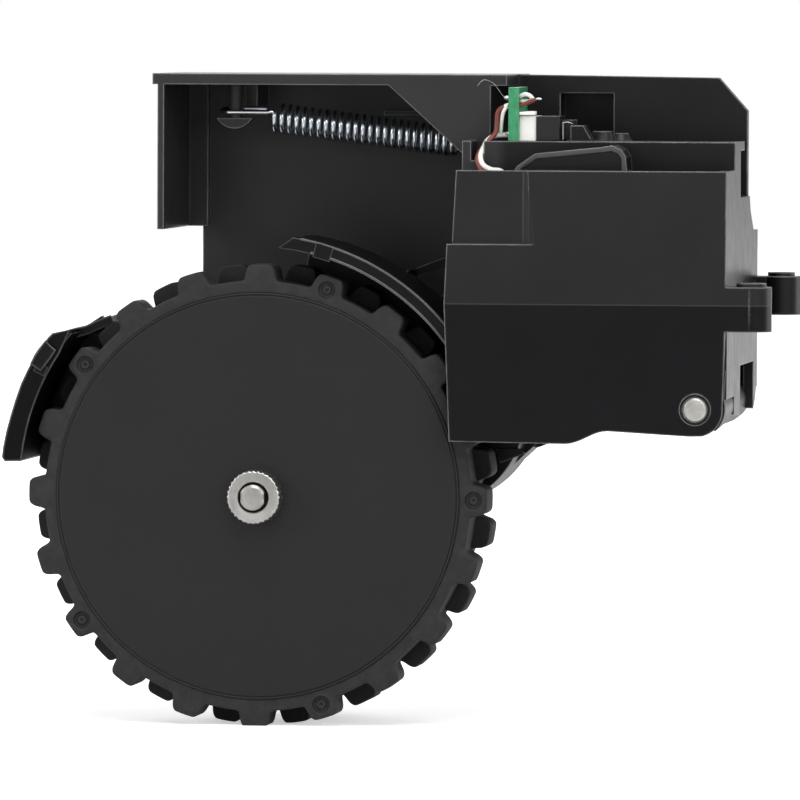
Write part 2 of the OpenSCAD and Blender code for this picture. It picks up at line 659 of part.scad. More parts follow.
// The post that the spring pulls on, with the plate and the brace that carry it
module spring_horn() {
    top = horn[1] - 2.8;
    slab(spring_y - 1.6, spring_y + 1.6) polygon([
        strut_end, strut_end + [0.5, 0.8], [horn[0] - 5.8, 22.2], [horn[0] - 2.4, 24.4], [horn[0] - 1.8, top],
        [horn[0] + 1.8, top], [horn[0] + 3.6, 20], [horn[0] + 2.2, 12], [horn[0] - 2.4, 10],
        [horn[0] - 2.4, 21.4], [horn[0] - 6, 20.6]
    ]);
    slab(arm_front, spring_y + 1.6) polygon([
        strut_end - [0.5, 1.2], strut_end + [0.5, 0.8], strut_end + [3.2, 1.7], strut_end + [2.8, 0.3]
    ]);
    translate([horn[0], spring_y, top - 2]) cylinder(r = hook_neck_r, h = horn[1] - top + 3);
    translate([horn[0], spring_y, horn[1] + 0.8]) cylinder(r = 2.1, h = 0.9);
    slab(lever_y[0] + 0.2, spring_y) polygon([for (p = [[-26.6, 34.4], [-22.7, 34.4], [-22.7, 38], [-26.6, 38]])
        swing(p, -arm_lift)]);
}

gearbox_screw_places = concat(
    [for (a = [58, 128, 205, 285]) polar(wheel, out_pocket_r + arm_wall + 0.8, a)],
    [polar(slow_axis, slow_pocket_r + arm_wall + 0.6, 262), polar(fast_axis, fast_pocket_r + arm_wall + 0.2, 282)]
);

// A clip that stands out from the gearbox's front, below the cover
module case_clip() {
    slab(arm_front - 0.8, arm_front + 1) polygon([
        slow_axis + [10.4, -5.6], slow_axis + [11, -7.6], slow_axis + [14.8, -6.2], slow_axis + [14.2, -5.4]
    ]);
}

module swing_arm() color(BLACK) difference() {
    union() {
        case_clip();
        slab(arm_front, case_back) deep_outline(arm_wall);
        slab(upper_floor, case_back) upper_outline(arm_wall);
        rod(motor_axis, cup_r, cup_front, upper_in);
        slab(upper_floor, case_back) web(fast_axis, fast_pocket_r + arm_wall, [0, 0], hub_r);
        slab(cup_front, cup_front + floor_t) web(motor_axis, cup_r, [0, 0], hub_r);
        rod([0, 0], hub_r, hub_front, hub_end);
        fender();
        spring_horn();
        rod(wheel, bearing_r + 1.7, front_bearing_y - 0.8, front_bearing_y + bearing_w + 0.4);
        for (p = gearbox_screw_places) rod(p, 2.1, case_back - 9, case_back);
    }
    difference() {
        slab(arm_front + floor_t, case_back + 1) deep_outline(0);
        rod(wheel, bearing_r + 1.7, arm_front, front_bearing_y + bearing_w + 0.4);
        rod(slow_axis, slow_pin_r + 1.4, arm_front, slow_small_y[0] - 0.2);
    }
    difference() {
        slab(upper_in, case_back + 1) upper_outline(0);
        rod(fast_axis, fast_pin_r + 1.3, upper_floor, fast_small_y[0] - 0.2);
    }
    slab(upper_in + 1, case_back + 1) polygon([[-14.6, 3.2], [-14.6, 9.4], [-6, 4.2], [-6, -0.6]]);
    rod(motor_axis, motor_r, cup_front - 1, motor_back);
    rod(motor_axis, 3.2, motor_back - 1, upper_in + 1);
    for (p = motor_screw_places) rod(p, 1.1, motor_back - 1, upper_in + 1);
    rod(wheel, bearing_r, front_bearing_y, front_bearing_y + bearing_w + 2);
    rod(wheel, shaft_d / 2 + 1.2, front_bearing_y - 2, front_bearing_y + 1);
    rod(slow_axis, slow_pin_r, arm_front + 0.8, case_back);
    rod(fast_axis, fast_pin_r, upper_floor + 0.6, case_back);
    rod([0, 0], bush_r, hub_front - 1, hub_end + 1);
    for (p = gearbox_screw_places) rod(p, 0.8, case_back - 7, case_back + 1);
    slab(arm_front - 20, case_back + 1) wall_path();
}

module gearbox_cover() color(BLACK) difference() {
    union() {
        slab(case_back, case_back + cap_t) {
            deep_outline(arm_wall - 0.1);
            upper_outline(arm_wall - 0.1);
        }
        rod(wheel, bearing_r + 1.6, rear_bearing_y - 0.8, cap_boss_back);
        for (p = gearbox_screw_places) rod(p, 2.1, case_back, case_back + cap_t);
        rod(slow_axis, slow_pin_r + 1.2, case_back + cap_t - EPS, case_back + cap_t + 0.6);
        rod(fast_axis, fast_pin_r + 1.2, case_back + cap_t - EPS, case_back + cap_t + 0.6);
        for (a = [70, 130, 190, 250, 310]) translate([wheel[0], 0, wheel[1]]) rotate([0, -a, 0])
            box([bearing_r + 1, case_back + cap_t - EPS, -0.6], [out_pocket_r - 2, case_back + cap_t + 0.8, 0.6]);
    }
    rod(wheel, bearing_r, rear_bearing_y, cap_boss_back + 1);
    rod(wheel, shaft_d / 2 + 1.2, rear_bearing_y - 2, cap_boss_back + 1);
    rod(slow_axis, slow_pin_r, case_back - 1, case_back + cap_t);
    rod(fast_axis, fast_pin_r, case_back - 1, case_back + cap_t);
    for (p = gearbox_screw_places) rod(p, 1.1, case_back - 1, case_back + cap_t + 1);
    slab(case_back - 1, case_back + 6) wall_path();
}

module gearbox_screws() color(STEEL) {
    for (p = gearbox_screw_places) rear_screw(p, 0.8, case_back - 6, case_back + cap_t, 1.9, 1.2);
}

// Motor
module motor_can() color(STEEL) difference() {
    turned(motor_axis, [[0, motor_front], [motor_r - 0.1, motor_front], [motor_r - 0.1, motor_back - 0.8],
        [motor_r - 0.9, motor_back], [3.1, motor_back], [3.1, upper_in - 0.2], [0, upper_in - 0.2]]);
    rod(motor_axis, motor_shaft_r + FIT, motor_front + 2, upper_in + 1);
    for (p = motor_screw_places) rod(p, 0.9, motor_back - 3, motor_back + 1);
}

module motor_end_cap() color(DARK) {
    turned(motor_axis, [[0, motor_front - end_cap_t], [motor_r - 1.6, motor_front - end_cap_t],
        [motor_r - 0.8, motor_front - end_cap_t + 0.8], [motor_r - 0.8, motor_front], [0, motor_front]]);
}

module motor_terminals() color("goldenrod") {
    for (p = terminal_places) box(
        [p[0] - 1, terminal_front, p[1] - 0.25], [p[0] + 1, motor_front - end_cap_t, p[1] + 0.25]);
}

module motor_screws() color(STEEL) {
    for (p = motor_screw_places) rear_screw(p, 0.9, motor_back - 2.6, upper_in, 1.8, 1);
}

// Bushes, bearings and gear pins
module pivot_bush(flange, inner) {
    span = flange < inner ? [flange, flange + bush_flange_t, inner] : [inner, flange, flange + bush_flange_t];
    bore = pivot_d / 2 + FIT;
    if (flange < inner) turned([0, 0], [[bore, span[0]], [3.4, span[0]], [3.4, span[1]], [bush_r, span[1]],
        [bush_r, span[2]], [bore, span[2]]]);
    else turned([0, 0], [[bore, span[0]], [bush_r, span[0]], [bush_r, span[1]], [3.4, span[1]],
        [3.4, span[2]], [bore, span[2]]]);
}

module pivot_bush_front() color("peru") pivot_bush(hub_front - bush_flange_t, hub_front + 8);
module pivot_bush_rear() color("peru") pivot_bush(hub_end, hub_end - 8);

// A shielded ball bearing, with a shallow groove in each face
module bearing(y0) {
    bore = shaft_d / 2 + FIT;
    mid = [bore + 0.7, bearing_r - 0.7];
    turned(wheel, [[bore, y0], [mid[0], y0], [mid[0], y0 + 0.3], [mid[1], y0 + 0.3], [mid[1], y0],
        [bearing_r, y0], [bearing_r, y0 + bearing_w], [mid[1], y0 + bearing_w], [mid[1], y0 + bearing_w - 0.3],
        [mid[0], y0 + bearing_w - 0.3], [mid[0], y0 + bearing_w], [bore, y0 + bearing_w]]);
}

module front_bearing() color(STEEL) bearing(front_bearing_y);
module rear_bearing() color(STEEL) bearing(rear_bearing_y);
module slow_gear_pin() color(STEEL) rod(slow_axis, slow_pin_r, arm_front + 0.8, case_back + cap_t);
module fast_gear_pin() color(STEEL) rod(fast_axis, fast_pin_r, upper_floor + 0.6, case_back + cap_t);

// Wheel
module wheel_hub() color(BLACK) difference() {
    union() {
        turned(wheel, concat(
            [for (i = [0:8]) let (r = rim_r * i / 8) [r, disc_front - dome_h * (1 - pow(r / rim_r, 2))]],
            [[rim_r, hub_back], [rim_r - rim_t, hub_back], [rim_r - rim_t, disc_front + 2.4],
                [rim_r - rim_t - 1.6, disc_front + 1.6], [hub_boss_r, disc_front + 1.4], [hub_boss_r, hub_back],
                [0, hub_back]]
        ));
        for (k = [0:4]) translate([wheel[0], 0, wheel[1]]) rotate([0, -36 - 72 * k, 0])
            box([hub_boss_r - 0.4, disc_front + 1, -0.7], [rim_r - rim_t + 0.2, hub_back - 3, 0.7]);
    }
    rod(wheel, shaft_d / 2, -5, tyre_back + 5);
}

// One lug's outline, leaning in from its root to a flat tip with cut corners
LUG_FIRST = -1.35;
lug_radii = [band_r - 0.45, band_r + 0.15, band_r + 0.8, tread_r - 0.8, tread_r + 0.2];
lug_widths = [2.7, 2.4, 2.25, 2.15, 1.35];
function lug_point(a, side, k) = polar(wheel, lug_radii[k], a + side * lug_widths[k] / lug_radii[k] * 180 / PI);
module lug_row(phase) {
    polygon([for (i = [0:lug_count - 1]) let (a = phase + 360 * i / lug_count) each concat(
        [for (k = [0:4]) lug_point(a, -1, k)], [for (k = [4:-1:0]) lug_point(a, 1, k)]
    )]);
}

band_inset = 0.15;
module tyre() color(RUBBER) difference() {
    union() {
        turned(wheel, [[rim_r, tyre_front + band_inset], [band_r - 0.3, tyre_front + band_inset],
            [band_r, tyre_front + band_inset + 0.3], [band_r, tyre_back - band_inset - 0.3],
            [band_r - 0.3, tyre_back - band_inset], [rim_r, tyre_back - band_inset]]);
        intersection() {
            union() {
                slab(tyre_front, tyre_front + tyre_w / 2) lug_row(LUG_FIRST);
                slab(tyre_front + tyre_w / 2, tyre_back) lug_row(LUG_FIRST + 180 / lug_count);
            }
            turned(wheel, [[rim_r + 0.5, tyre_front], [tread_r - 0.35, tyre_front], [tread_r, tyre_front + 0.35],
                [tread_r, tyre_back - 0.9], [tread_r - 0.9, tyre_back], [rim_r + 0.5, tyre_back]]);
        }
    }
    for (k = [0:4:lug_count - 1]) difference() {
        p = polar(wheel, band_r + 0.1, LUG_FIRST + 360 * k / lug_count);
        rod(p, 1.4, tyre_front - 1, tyre_front + 0.6);
        rod(p, 0.5, tyre_front + 0.2, tyre_front + 1);
    }
}

module wheel_shaft() color(STEEL) {
    turned(wheel, [[0, shaft_front], [shaft_d / 2 - 0.3, shaft_front], [shaft_d / 2, shaft_front + 0.3],
        [shaft_d / 2, cap_boss_back + 0.4], [shaft_d / 2 - 0.4, cap_boss_back + 0.4],
        [shaft_d / 2 - 0.4, cap_boss_back + 1], [shaft_d / 2, cap_boss_back + 1], [shaft_d / 2, shaft_back - 0.3],
        [shaft_d / 2 - 0.3, shaft_back], [0, shaft_back]]);
}

KNURLS = 38;
module retaining_nut() color(STEEL) difference() {
    intersection() {
        slab(nut_front, nut_back) polygon([for (i = [0:2 * KNURLS - 1])
            polar(wheel, nut_d / 2 - (i % 2) * 0.28, 180 * i / KNURLS)]);
        turned(wheel, [[0, nut_front], [nut_d / 2 - 0.5, nut_front], [nut_d / 2 + 0.1, nut_front + 0.5],
            [nut_d / 2 + 0.1, nut_back], [0, nut_back]]);
    }
    rod(wheel, 2.5, nut_front - 1, nut_front + 0.5);
    rod(wheel, shaft_d / 2, nut_front - 2, nut_back + 1);
}

module axle_spacer() color(STEEL) turned(wheel, [[shaft_d / 2, hub_back], [2.9, hub_back],
    [2.9, front_bearing_y - 0.1], [shaft_d / 2, front_bearing_y - 0.1]]);

module output_gear() color(NYLON) difference() {
    union() {
        slab(out_gear_y[0], out_gear_y[1]) gear_outline(wheel, module_out, teeth_out, heading(wheel, slow_axis));
        rod(wheel, 4.2, out_gear_y[0] - 0.6, out_gear_y[1] + 4);
    }
    rod(wheel, shaft_d / 2, out_gear_y[0] - 2, out_gear_y[1] + 5);
    for (side = [0, 1]) turned(wheel, [[6, out_gear_y[side] - 1], [out_r - 3, out_gear_y[side] - 1],
        [out_r - 3, out_gear_y[side] + 1], [6, out_gear_y[side] + 1]]);
}

module shaft_clip() color(STEEL) difference() {
    rod(wheel, 3.6, cap_boss_back + 0.4, cap_boss_back + 1);
    rod(wheel, shaft_d / 2 - 0.4, cap_boss_back, cap_boss_back + 2);
    slab(cap_boss_back, cap_boss_back + 2) translate(wheel) translate([-0.9, -6]) square([1.8, 6]);
}

// A compound gear turned by its large wheel and driving with its small one
module compound_gear(p, pin, large_m, large_n, large_phase, large_y, small_m, small_n, small_phase, small_y) {
    difference() {
        union() {
            slab(large_y[0], large_y[1]) gear_outline(p, large_m, large_n, large_phase);
            slab(small_y[0], small_y[1]) gear_outline(p, small_m, small_n, small_phase);
        }
        rod(p, pin + FIT, small_y[0] - 1, large_y[1] + 1);
    }
}

module slow_gear() color(NYLON) compound_gear(slow_axis, slow_pin_r,
    module_mid, teeth_large[0], heading(slow_axis, fast_axis), slow_large_y,
    module_out, teeth_small[0], heading(slow_axis, wheel) + 180 / teeth_small[0], slow_small_y);

module fast_gear() color(NYLON) compound_gear(fast_axis, fast_pin_r,
    module_in, teeth_large[1], heading(fast_axis, motor_axis), fast_large_y,
    module_mid, teeth_small[1], heading(fast_axis, slow_axis) + 180 / teeth_small[1], fast_small_y);

module motor_shaft() color(STEEL) rod(motor_axis, motor_shaft_r, motor_front + 2.4, case_back - 0.3);

module motor_pinion() color("goldenrod") difference() {
    slab(fast_large_y[0] - 0.8, case_back - 0.3) gear_outline(motor_axis, module_in, teeth_pinion,
        heading(motor_axis, fast_axis) + 180 / teeth_pinion);
    rod(motor_axis, motor_shaft_r, case_back - 10, case_back + 1);
}

module placed() {
    translate(-origin) children();
}

placed() chassis_frame();
placed() front_cover();
placed() pivot_pin();
placed() cover_screws();
placed() circuit_board();
placed() board_header();
placed() drop_switch();
placed() switch_lever();
placed() return_spring();
placed() motor_lead_white();
placed() motor_lead_red();
placed() swing_arm();
placed() gearbox_cover();
placed() gearbox_screws();
placed() motor_can();
placed() motor_end_cap();
placed() motor_terminals();
placed() motor_screws();
placed() pivot_bush_front();
placed() pivot_bush_rear();
placed() front_bearing();
placed() rear_bearing();
placed() slow_gear_pin();
placed() fast_gear_pin();
placed() wheel_hub();
placed() tyre();
placed() wheel_shaft();
placed() retaining_nut();
placed() axle_spacer();
placed() output_gear();
placed() shaft_clip();
placed() slow_gear();
placed() fast_gear();
placed() motor_shaft();
placed() motor_pinion();
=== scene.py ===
import json
import math

import bmesh
import bpy
from mathutils import Matrix, Vector, noise


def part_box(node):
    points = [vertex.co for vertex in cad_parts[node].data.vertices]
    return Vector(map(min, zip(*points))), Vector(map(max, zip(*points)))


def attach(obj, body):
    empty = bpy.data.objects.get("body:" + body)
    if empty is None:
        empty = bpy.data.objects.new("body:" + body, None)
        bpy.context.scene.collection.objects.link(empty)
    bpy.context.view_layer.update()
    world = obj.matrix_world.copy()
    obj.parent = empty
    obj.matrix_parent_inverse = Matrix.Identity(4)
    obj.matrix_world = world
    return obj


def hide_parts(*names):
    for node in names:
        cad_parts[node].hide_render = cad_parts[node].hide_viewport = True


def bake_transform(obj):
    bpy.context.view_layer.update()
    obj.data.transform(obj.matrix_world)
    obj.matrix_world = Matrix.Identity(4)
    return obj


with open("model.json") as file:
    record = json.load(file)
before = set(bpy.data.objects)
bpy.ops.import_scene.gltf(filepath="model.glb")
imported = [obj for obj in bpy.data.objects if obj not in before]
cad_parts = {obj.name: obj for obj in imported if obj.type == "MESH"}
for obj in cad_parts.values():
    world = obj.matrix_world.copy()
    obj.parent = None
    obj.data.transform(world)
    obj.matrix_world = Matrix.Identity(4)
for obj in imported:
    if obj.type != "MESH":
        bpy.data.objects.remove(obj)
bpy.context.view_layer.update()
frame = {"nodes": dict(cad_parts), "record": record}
NODES = frame["nodes"]

# The part's own places are in millimetres from the pivot's axis. The frame starts at the front screw hole.
ORIGIN = (8.2, 3.2, 11.8)
WHEEL = (-67.7, -14.0)
PARTING_Z = 15.8


def at(x, y, z):
    """A point of the part, in the frame's metres."""
    return Vector(((x - ORIGIN[0]) / 1000, (y - ORIGIN[1]) / 1000, (z - ORIGIN[2]) / 1000))


# Camera: a long lens, slightly to the right of the part and above it
AIM = at(-45.13, 0.0, 1.09)
AZIMUTH = math.radians(8.0)
ELEVATION = math.radians(2.3)
ROLL = math.radians(0.21)
DISTANCE = 1.5
PX_PER_MM = 6.57
PICTURE_PX = 800
SENSOR_MM = 36


def make_camera():
    """The photograph's view, at the scale that PX_PER_MM gives at the aim."""
    data = bpy.data.cameras.new("camera")
    data.sensor_width = SENSOR_MM
    data.lens = PX_PER_MM * DISTANCE * 1000 * SENSOR_MM / PICTURE_PX
    data.clip_start = 0.05
    data.clip_end = 20
    cam = bpy.data.objects.new("camera", data)
    bpy.context.scene.collection.objects.link(cam)
    back = Vector((math.sin(AZIMUTH) * math.cos(ELEVATION), -math.cos(AZIMUTH) * math.cos(ELEVATION),
                   math.sin(ELEVATION)))
    level = Vector((math.cos(AZIMUTH), math.sin(AZIMUTH), 0))
    right = level * math.cos(ROLL) + back.cross(level) * math.sin(ROLL)
    place = Matrix((right, back.cross(right), back)).transposed().to_4x4()
    place.translation = AIM + back * DISTANCE
    cam.matrix_world = place
    bpy.context.scene.camera = cam


make_camera()


# Materials. An edge shows by how far its rounded normal leaves the true one, given as a cosine, and only
# where the surface around it is open and not hollow, given as a share of open sky.
EDGE_FLAT = 0.995
EDGE_SHARP = 0.86
HOLLOW_REACH = 0.0006
HOLLOW = 0.72
OPEN = 0.93


class Mat:
    """A node material with helpers that keep each recipe short."""

    def __init__(self, name):
        self.material = bpy.data.materials.new(name)
        self.material.use_nodes = True
        self.tree = self.material.node_tree
        self.bsdf = self.tree.nodes["Principled BSDF"]
        self.coord = self.tree.nodes.new("ShaderNodeTexCoord").outputs["Object"]

    def node(self, kind, **values):
        """A node, each value given to its setting or its input of that name."""
        n = self.tree.nodes.new(kind)
        for key, value in values.items():
            if hasattr(n, key):
                setattr(n, key, value)
            else:
                n.inputs[key.replace("_", " ")].default_value = value
        return n

    def link(self, a, b):
        self.tree.links.new(a, b)

    def calc(self, operation, a, b):
        """The product, maximum or other result of two values."""
        n = self.node("ShaderNodeMath", operation=operation)
        self.link(a, n.inputs[0])
        self.link(b, n.inputs[1])
        return n.outputs["Value"]

    def noise(self, scale, detail=2.0, rough=0.5, stretch=None):
        """Cloudy noise over the object, stretched along an axis where its scale is below 1."""
        n = self.node("ShaderNodeTexNoise", Scale=scale, Detail=detail, Roughness=rough)
        source = self.coord
        if stretch:
            mapping = self.node("ShaderNodeMapping", Scale=stretch)
            self.link(self.coord, mapping.inputs["Vector"])
            source = mapping.outputs["Vector"]
        self.link(source, n.inputs["Vector"])
        return n.outputs["Fac"]

    def rings(self, centre, scale):
        """Turning marks: rings about an axis that runs along Y."""
        mapping = self.node("ShaderNodeMapping", Location=(-centre.x, 0, -centre.z), Scale=(1, 0, 1))
        self.link(self.coord, mapping.inputs["Vector"])
        length = self.node("ShaderNodeVectorMath", operation="LENGTH")
        self.link(mapping.outputs["Vector"], length.inputs[0])
        combine = self.node("ShaderNodeCombineXYZ")
        self.link(length.outputs["Value"], combine.inputs["X"])
        n = self.node("ShaderNodeTexNoise", Scale=scale, Detail=3.0)
        self.link(combine.outputs["Vector"], n.inputs["Vector"])
        return n.outputs["Fac"]

    def axis(self, letter):
        """The place along one axis of the frame, in metres."""
        split = self.node("ShaderNodeSeparateXYZ")
        self.link(self.coord, split.inputs[0])
        return split.outputs[letter]

    def height(self, low, high):
        """0 below one height of the part and 1 above the other, both in its own millimetres."""
        return self.span(self.axis("Z"), 0.0, 1.0, at(0, 0, low).z, at(0, 0, high).z)

    def along_x(self, start, end):
        """0 before one place along the part and 1 past the other, both in its own millimetres."""
        return self.span(self.axis("X"), 0.0, 1.0, at(start, 0, 0).x, at(end, 0, 0).x)

    def crest(self, height, half):
        """1 in a narrow band at one height of the part, half in metres."""
        band = self.node("ShaderNodeMath", operation="COMPARE")
        self.link(self.axis("Z"), band.inputs[0])
        band.inputs[1].default_value = at(0, 0, height).z
        band.inputs[2].default_value = half
        return band.outputs["Value"]

    def span(self, fac, low, high, from_low=0.0, from_high=1.0):
        """A value carried from one range to another, and held at its ends."""
        n = self.node("ShaderNodeMapRange", From_Min=from_low, From_Max=from_high, To_Min=low, To_Max=high)
        self.link(fac, n.inputs["Value"])
        return n.outputs["Result"]

    def mix(self, fac, a, b):
        """Colour a where fac is 0 and b where it is 1, each a colour or a socket."""
        n = self.node("ShaderNodeMix", data_type="RGBA")
        for value, socket in ((a, n.inputs[6]), (b, n.inputs[7])):
            if isinstance(value, tuple):
                socket.default_value = (*value, 1)
            else:
                self.link(value, socket)
        self.link(fac, n.inputs[0])
        return n.outputs[2]

    def edges(self, radius):
        """1 on sharp outer edges, 0 on flat faces, and the rounded normal that goes with it."""
        bevel = self.node("ShaderNodeBevel", samples=6, Radius=radius)
        true = self.node("ShaderNodeNewGeometry").outputs["Normal"]
        dot = self.node("ShaderNodeVectorMath", operation="DOT_PRODUCT")
        self.link(bevel.outputs["Normal"], dot.inputs[0])
        self.link(true, dot.inputs[1])
        convex = self.node("ShaderNodeAmbientOcclusion", samples=4, Distance=HOLLOW_REACH, only_local=True)
        both = self.calc("MULTIPLY", self.span(dot.outputs["Value"], 0.0, 1.0, EDGE_FLAT, EDGE_SHARP),
                         self.span(convex.outputs["AO"], 0.0, 1.0, HOLLOW, OPEN))
        return both, bevel.outputs["Normal"]

    def bump(self, fac, strength, distance, normal):
        """Relief from a value, on top of the rounded normal."""
        n = self.node("ShaderNodeBump", Strength=strength, Distance=distance)
        self.link(fac, n.inputs["Height"])
        self.link(normal, n.inputs["Normal"])
        return n.outputs["Normal"]

    def set(self, **values):
        """The shader's own inputs, each a number, a colour or a socket."""
        for key, value in values.items():
            socket = self.bsdf.inputs[key.replace("_", " ")]
            if isinstance(value, bpy.types.NodeSocket):
                self.link(value, socket)
            else:
                socket.default_value = (*value, 1) if isinstance(value, tuple) else value


# Where the frame's left end is painted lighter as painted light and its right end darker as painted shade
# beside the cover; the cover's parting line, its crest painted paler as wear and painted highlight; and the
# cover's upper half, painted lighter towards the top as painted light
LEFT_FADE = (-30.6, -32.2)
RIGHT_FADE = (4.4, 5.4)
PARTING_FADE = (PARTING_Z - 0.15, PARTING_Z + 0.1)
UPPER_FADE = (PARTING_Z + 2, PARTING_Z + 24)
PARTING_HALF = 0.0001
PARTING_WEAR_AND_HIGHLIGHT = (0.026, 0.026, 0.0265)


def toned(colour, times):
    """A colour made lighter or darker."""
    return tuple(min(1.0, c * times) for c in colour)


def plastic(name, colour, worn, rough, specular, grain=5200, grain_depth=0.00003, bevel=0.00024, upper_painted_light=None,
            pale=None, left=None, right=None):
    """Moulded plastic: fine grain, soft cloudy tone, rounded edges painted paler, partly as wear and partly
    as a painted highlight.

    The tone given for above the parting line is painted light there, growing lighter towards the top; pale
    is the tone of the edges, partly wear and partly painted highlight. The tones given for the frame's two
    ends paint light on its left end and shade on its right end.
    """
    m = Mat(name)
    edge, normal = m.edges(bevel)
    ground = colour
    if upper_painted_light is not None:
        # Painted light: above the parting line the cover is painted lighter, and lighter still towards the
        # top.
        ground = m.mix(m.height(*PARTING_FADE), ground, upper_painted_light)
        ground = m.mix(m.height(*UPPER_FADE), ground, toned(upper_painted_light, 1.25))
    if left is not None:
        # Painted light on the frame's left end, painted shade on its right end.
        ground = m.mix(m.along_x(*LEFT_FADE), ground, left)
        ground = m.mix(m.along_x(*RIGHT_FADE), ground, right)
    clouds = m.noise(90, detail=4, rough=0.6)
    base = m.mix(m.span(clouds, 0.0, 0.3, 0.35, 0.75), ground, worn)
    scuffs = m.noise(900, detail=6, rough=0.7, stretch=(1, 1, 0.25))
    base = m.mix(m.span(scuffs, 0.0, 0.45, 0.62, 0.8), base, worn)
    if upper_painted_light is not None:
        # The parting crest painted paler: partly wear, partly a painted highlight.
        base = m.mix(m.crest(PARTING_Z, PARTING_HALF), base, PARTING_WEAR_AND_HIGHLIGHT)
    uneven = m.span(m.noise(340, detail=3, rough=0.6), 0.55, 1.0, 0.3, 0.6)
    # Edges painted paler: partly wear, partly a painted highlight.
    base = m.mix(m.calc("MULTIPLY", edge, uneven), base, pale or toned(worn, 1.6))
    fine = m.noise(grain, detail=3, rough=0.6)
    m.set(Base_Color=base, Roughness=m.span(m.noise(260, detail=4), rough - 0.05, rough + 0.08),
          Normal=m.bump(fine, 0.5, grain_depth, normal), Specular_IOR_Level=specular)
    return m.material


def steel(name, colour, rough, centre=None, dark=None):
    """Turned or plated steel: marks round the axis, and a few duller patches."""
    m = Mat(name)
    edge, normal = m.edges(0.00012)
    dark = dark or toned(colour, 0.55)
    patches = m.noise(420, detail=4, rough=0.6)
    base = m.mix(m.span(patches, 0.0, 0.7, 0.45, 0.8), colour, dark)
    if centre is None:
        marks = m.noise(2600, detail=3, rough=0.6, stretch=(1, 0.15, 1))
    else:
        marks = m.rings(centre, 9000)
    base = m.mix(m.span(marks, 0.0, 0.35, 0.4, 0.75), base, dark)
    # Edges painted brighter: a painted highlight.
    base = m.mix(m.span(edge, 0.0, 0.4), base, toned(colour, 1.25))
    m.set(Base_Color=base, Metallic=1.0, Roughness=m.span(marks, rough - 0.06, rough + 0.12),
          Normal=m.bump(marks, 0.35, 0.000015, normal))
    return m.material


def board(name):
    """Green solder resist over woven glass, with paler sawn edges and a few copper spots."""
    m = Mat(name)
    edge, normal = m.edges(0.00012)
    weave = m.noise(2600, stretch=(1, 1, 0.2))
    base = m.mix(m.span(weave, 0.0, 0.6, 0.35, 0.7), (0.02, 0.20, 0.085), (0.06, 0.30, 0.15))
    spots = m.noise(5200, detail=3, rough=0.6)
    base = m.mix(m.span(spots, 0.0, 0.8, 0.62, 0.72), base, (0.30, 0.34, 0.14))
    base = m.mix(m.span(edge, 0.0, 0.8), base, (0.16, 0.44, 0.26))
    m.set(Base_Color=base, Roughness=m.span(weave, 0.22, 0.4), Normal=m.bump(weave, 0.3, 0.00002, normal))
    return m.material


def rubber(name, clean, dust):
    """Tread rubber, with dust on it and paler edges."""
    m = Mat(name)
    edge, normal = m.edges(0.0003)
    dusty = m.noise(700, detail=6, rough=0.65)
    base = m.mix(m.span(dusty, 0.0, 0.8, 0.4, 0.8), clean, dust)
    base = m.mix(m.span(edge, 0.0, 0.5), base, toned(dust, 2.1))
    m.set(Base_Color=base, Roughness=m.span(m.noise(1500, detail=4), 0.6, 0.8),
          Normal=m.bump(m.noise(4200, detail=5, rough=0.65), 0.6, 0.00005, normal), Specular_IOR_Level=0.35)
    return m.material


SHAFT_CENTRE = at(WHEEL[0], 0, WHEEL[1])
PIVOT_CENTRE = at(0, 0, 0)
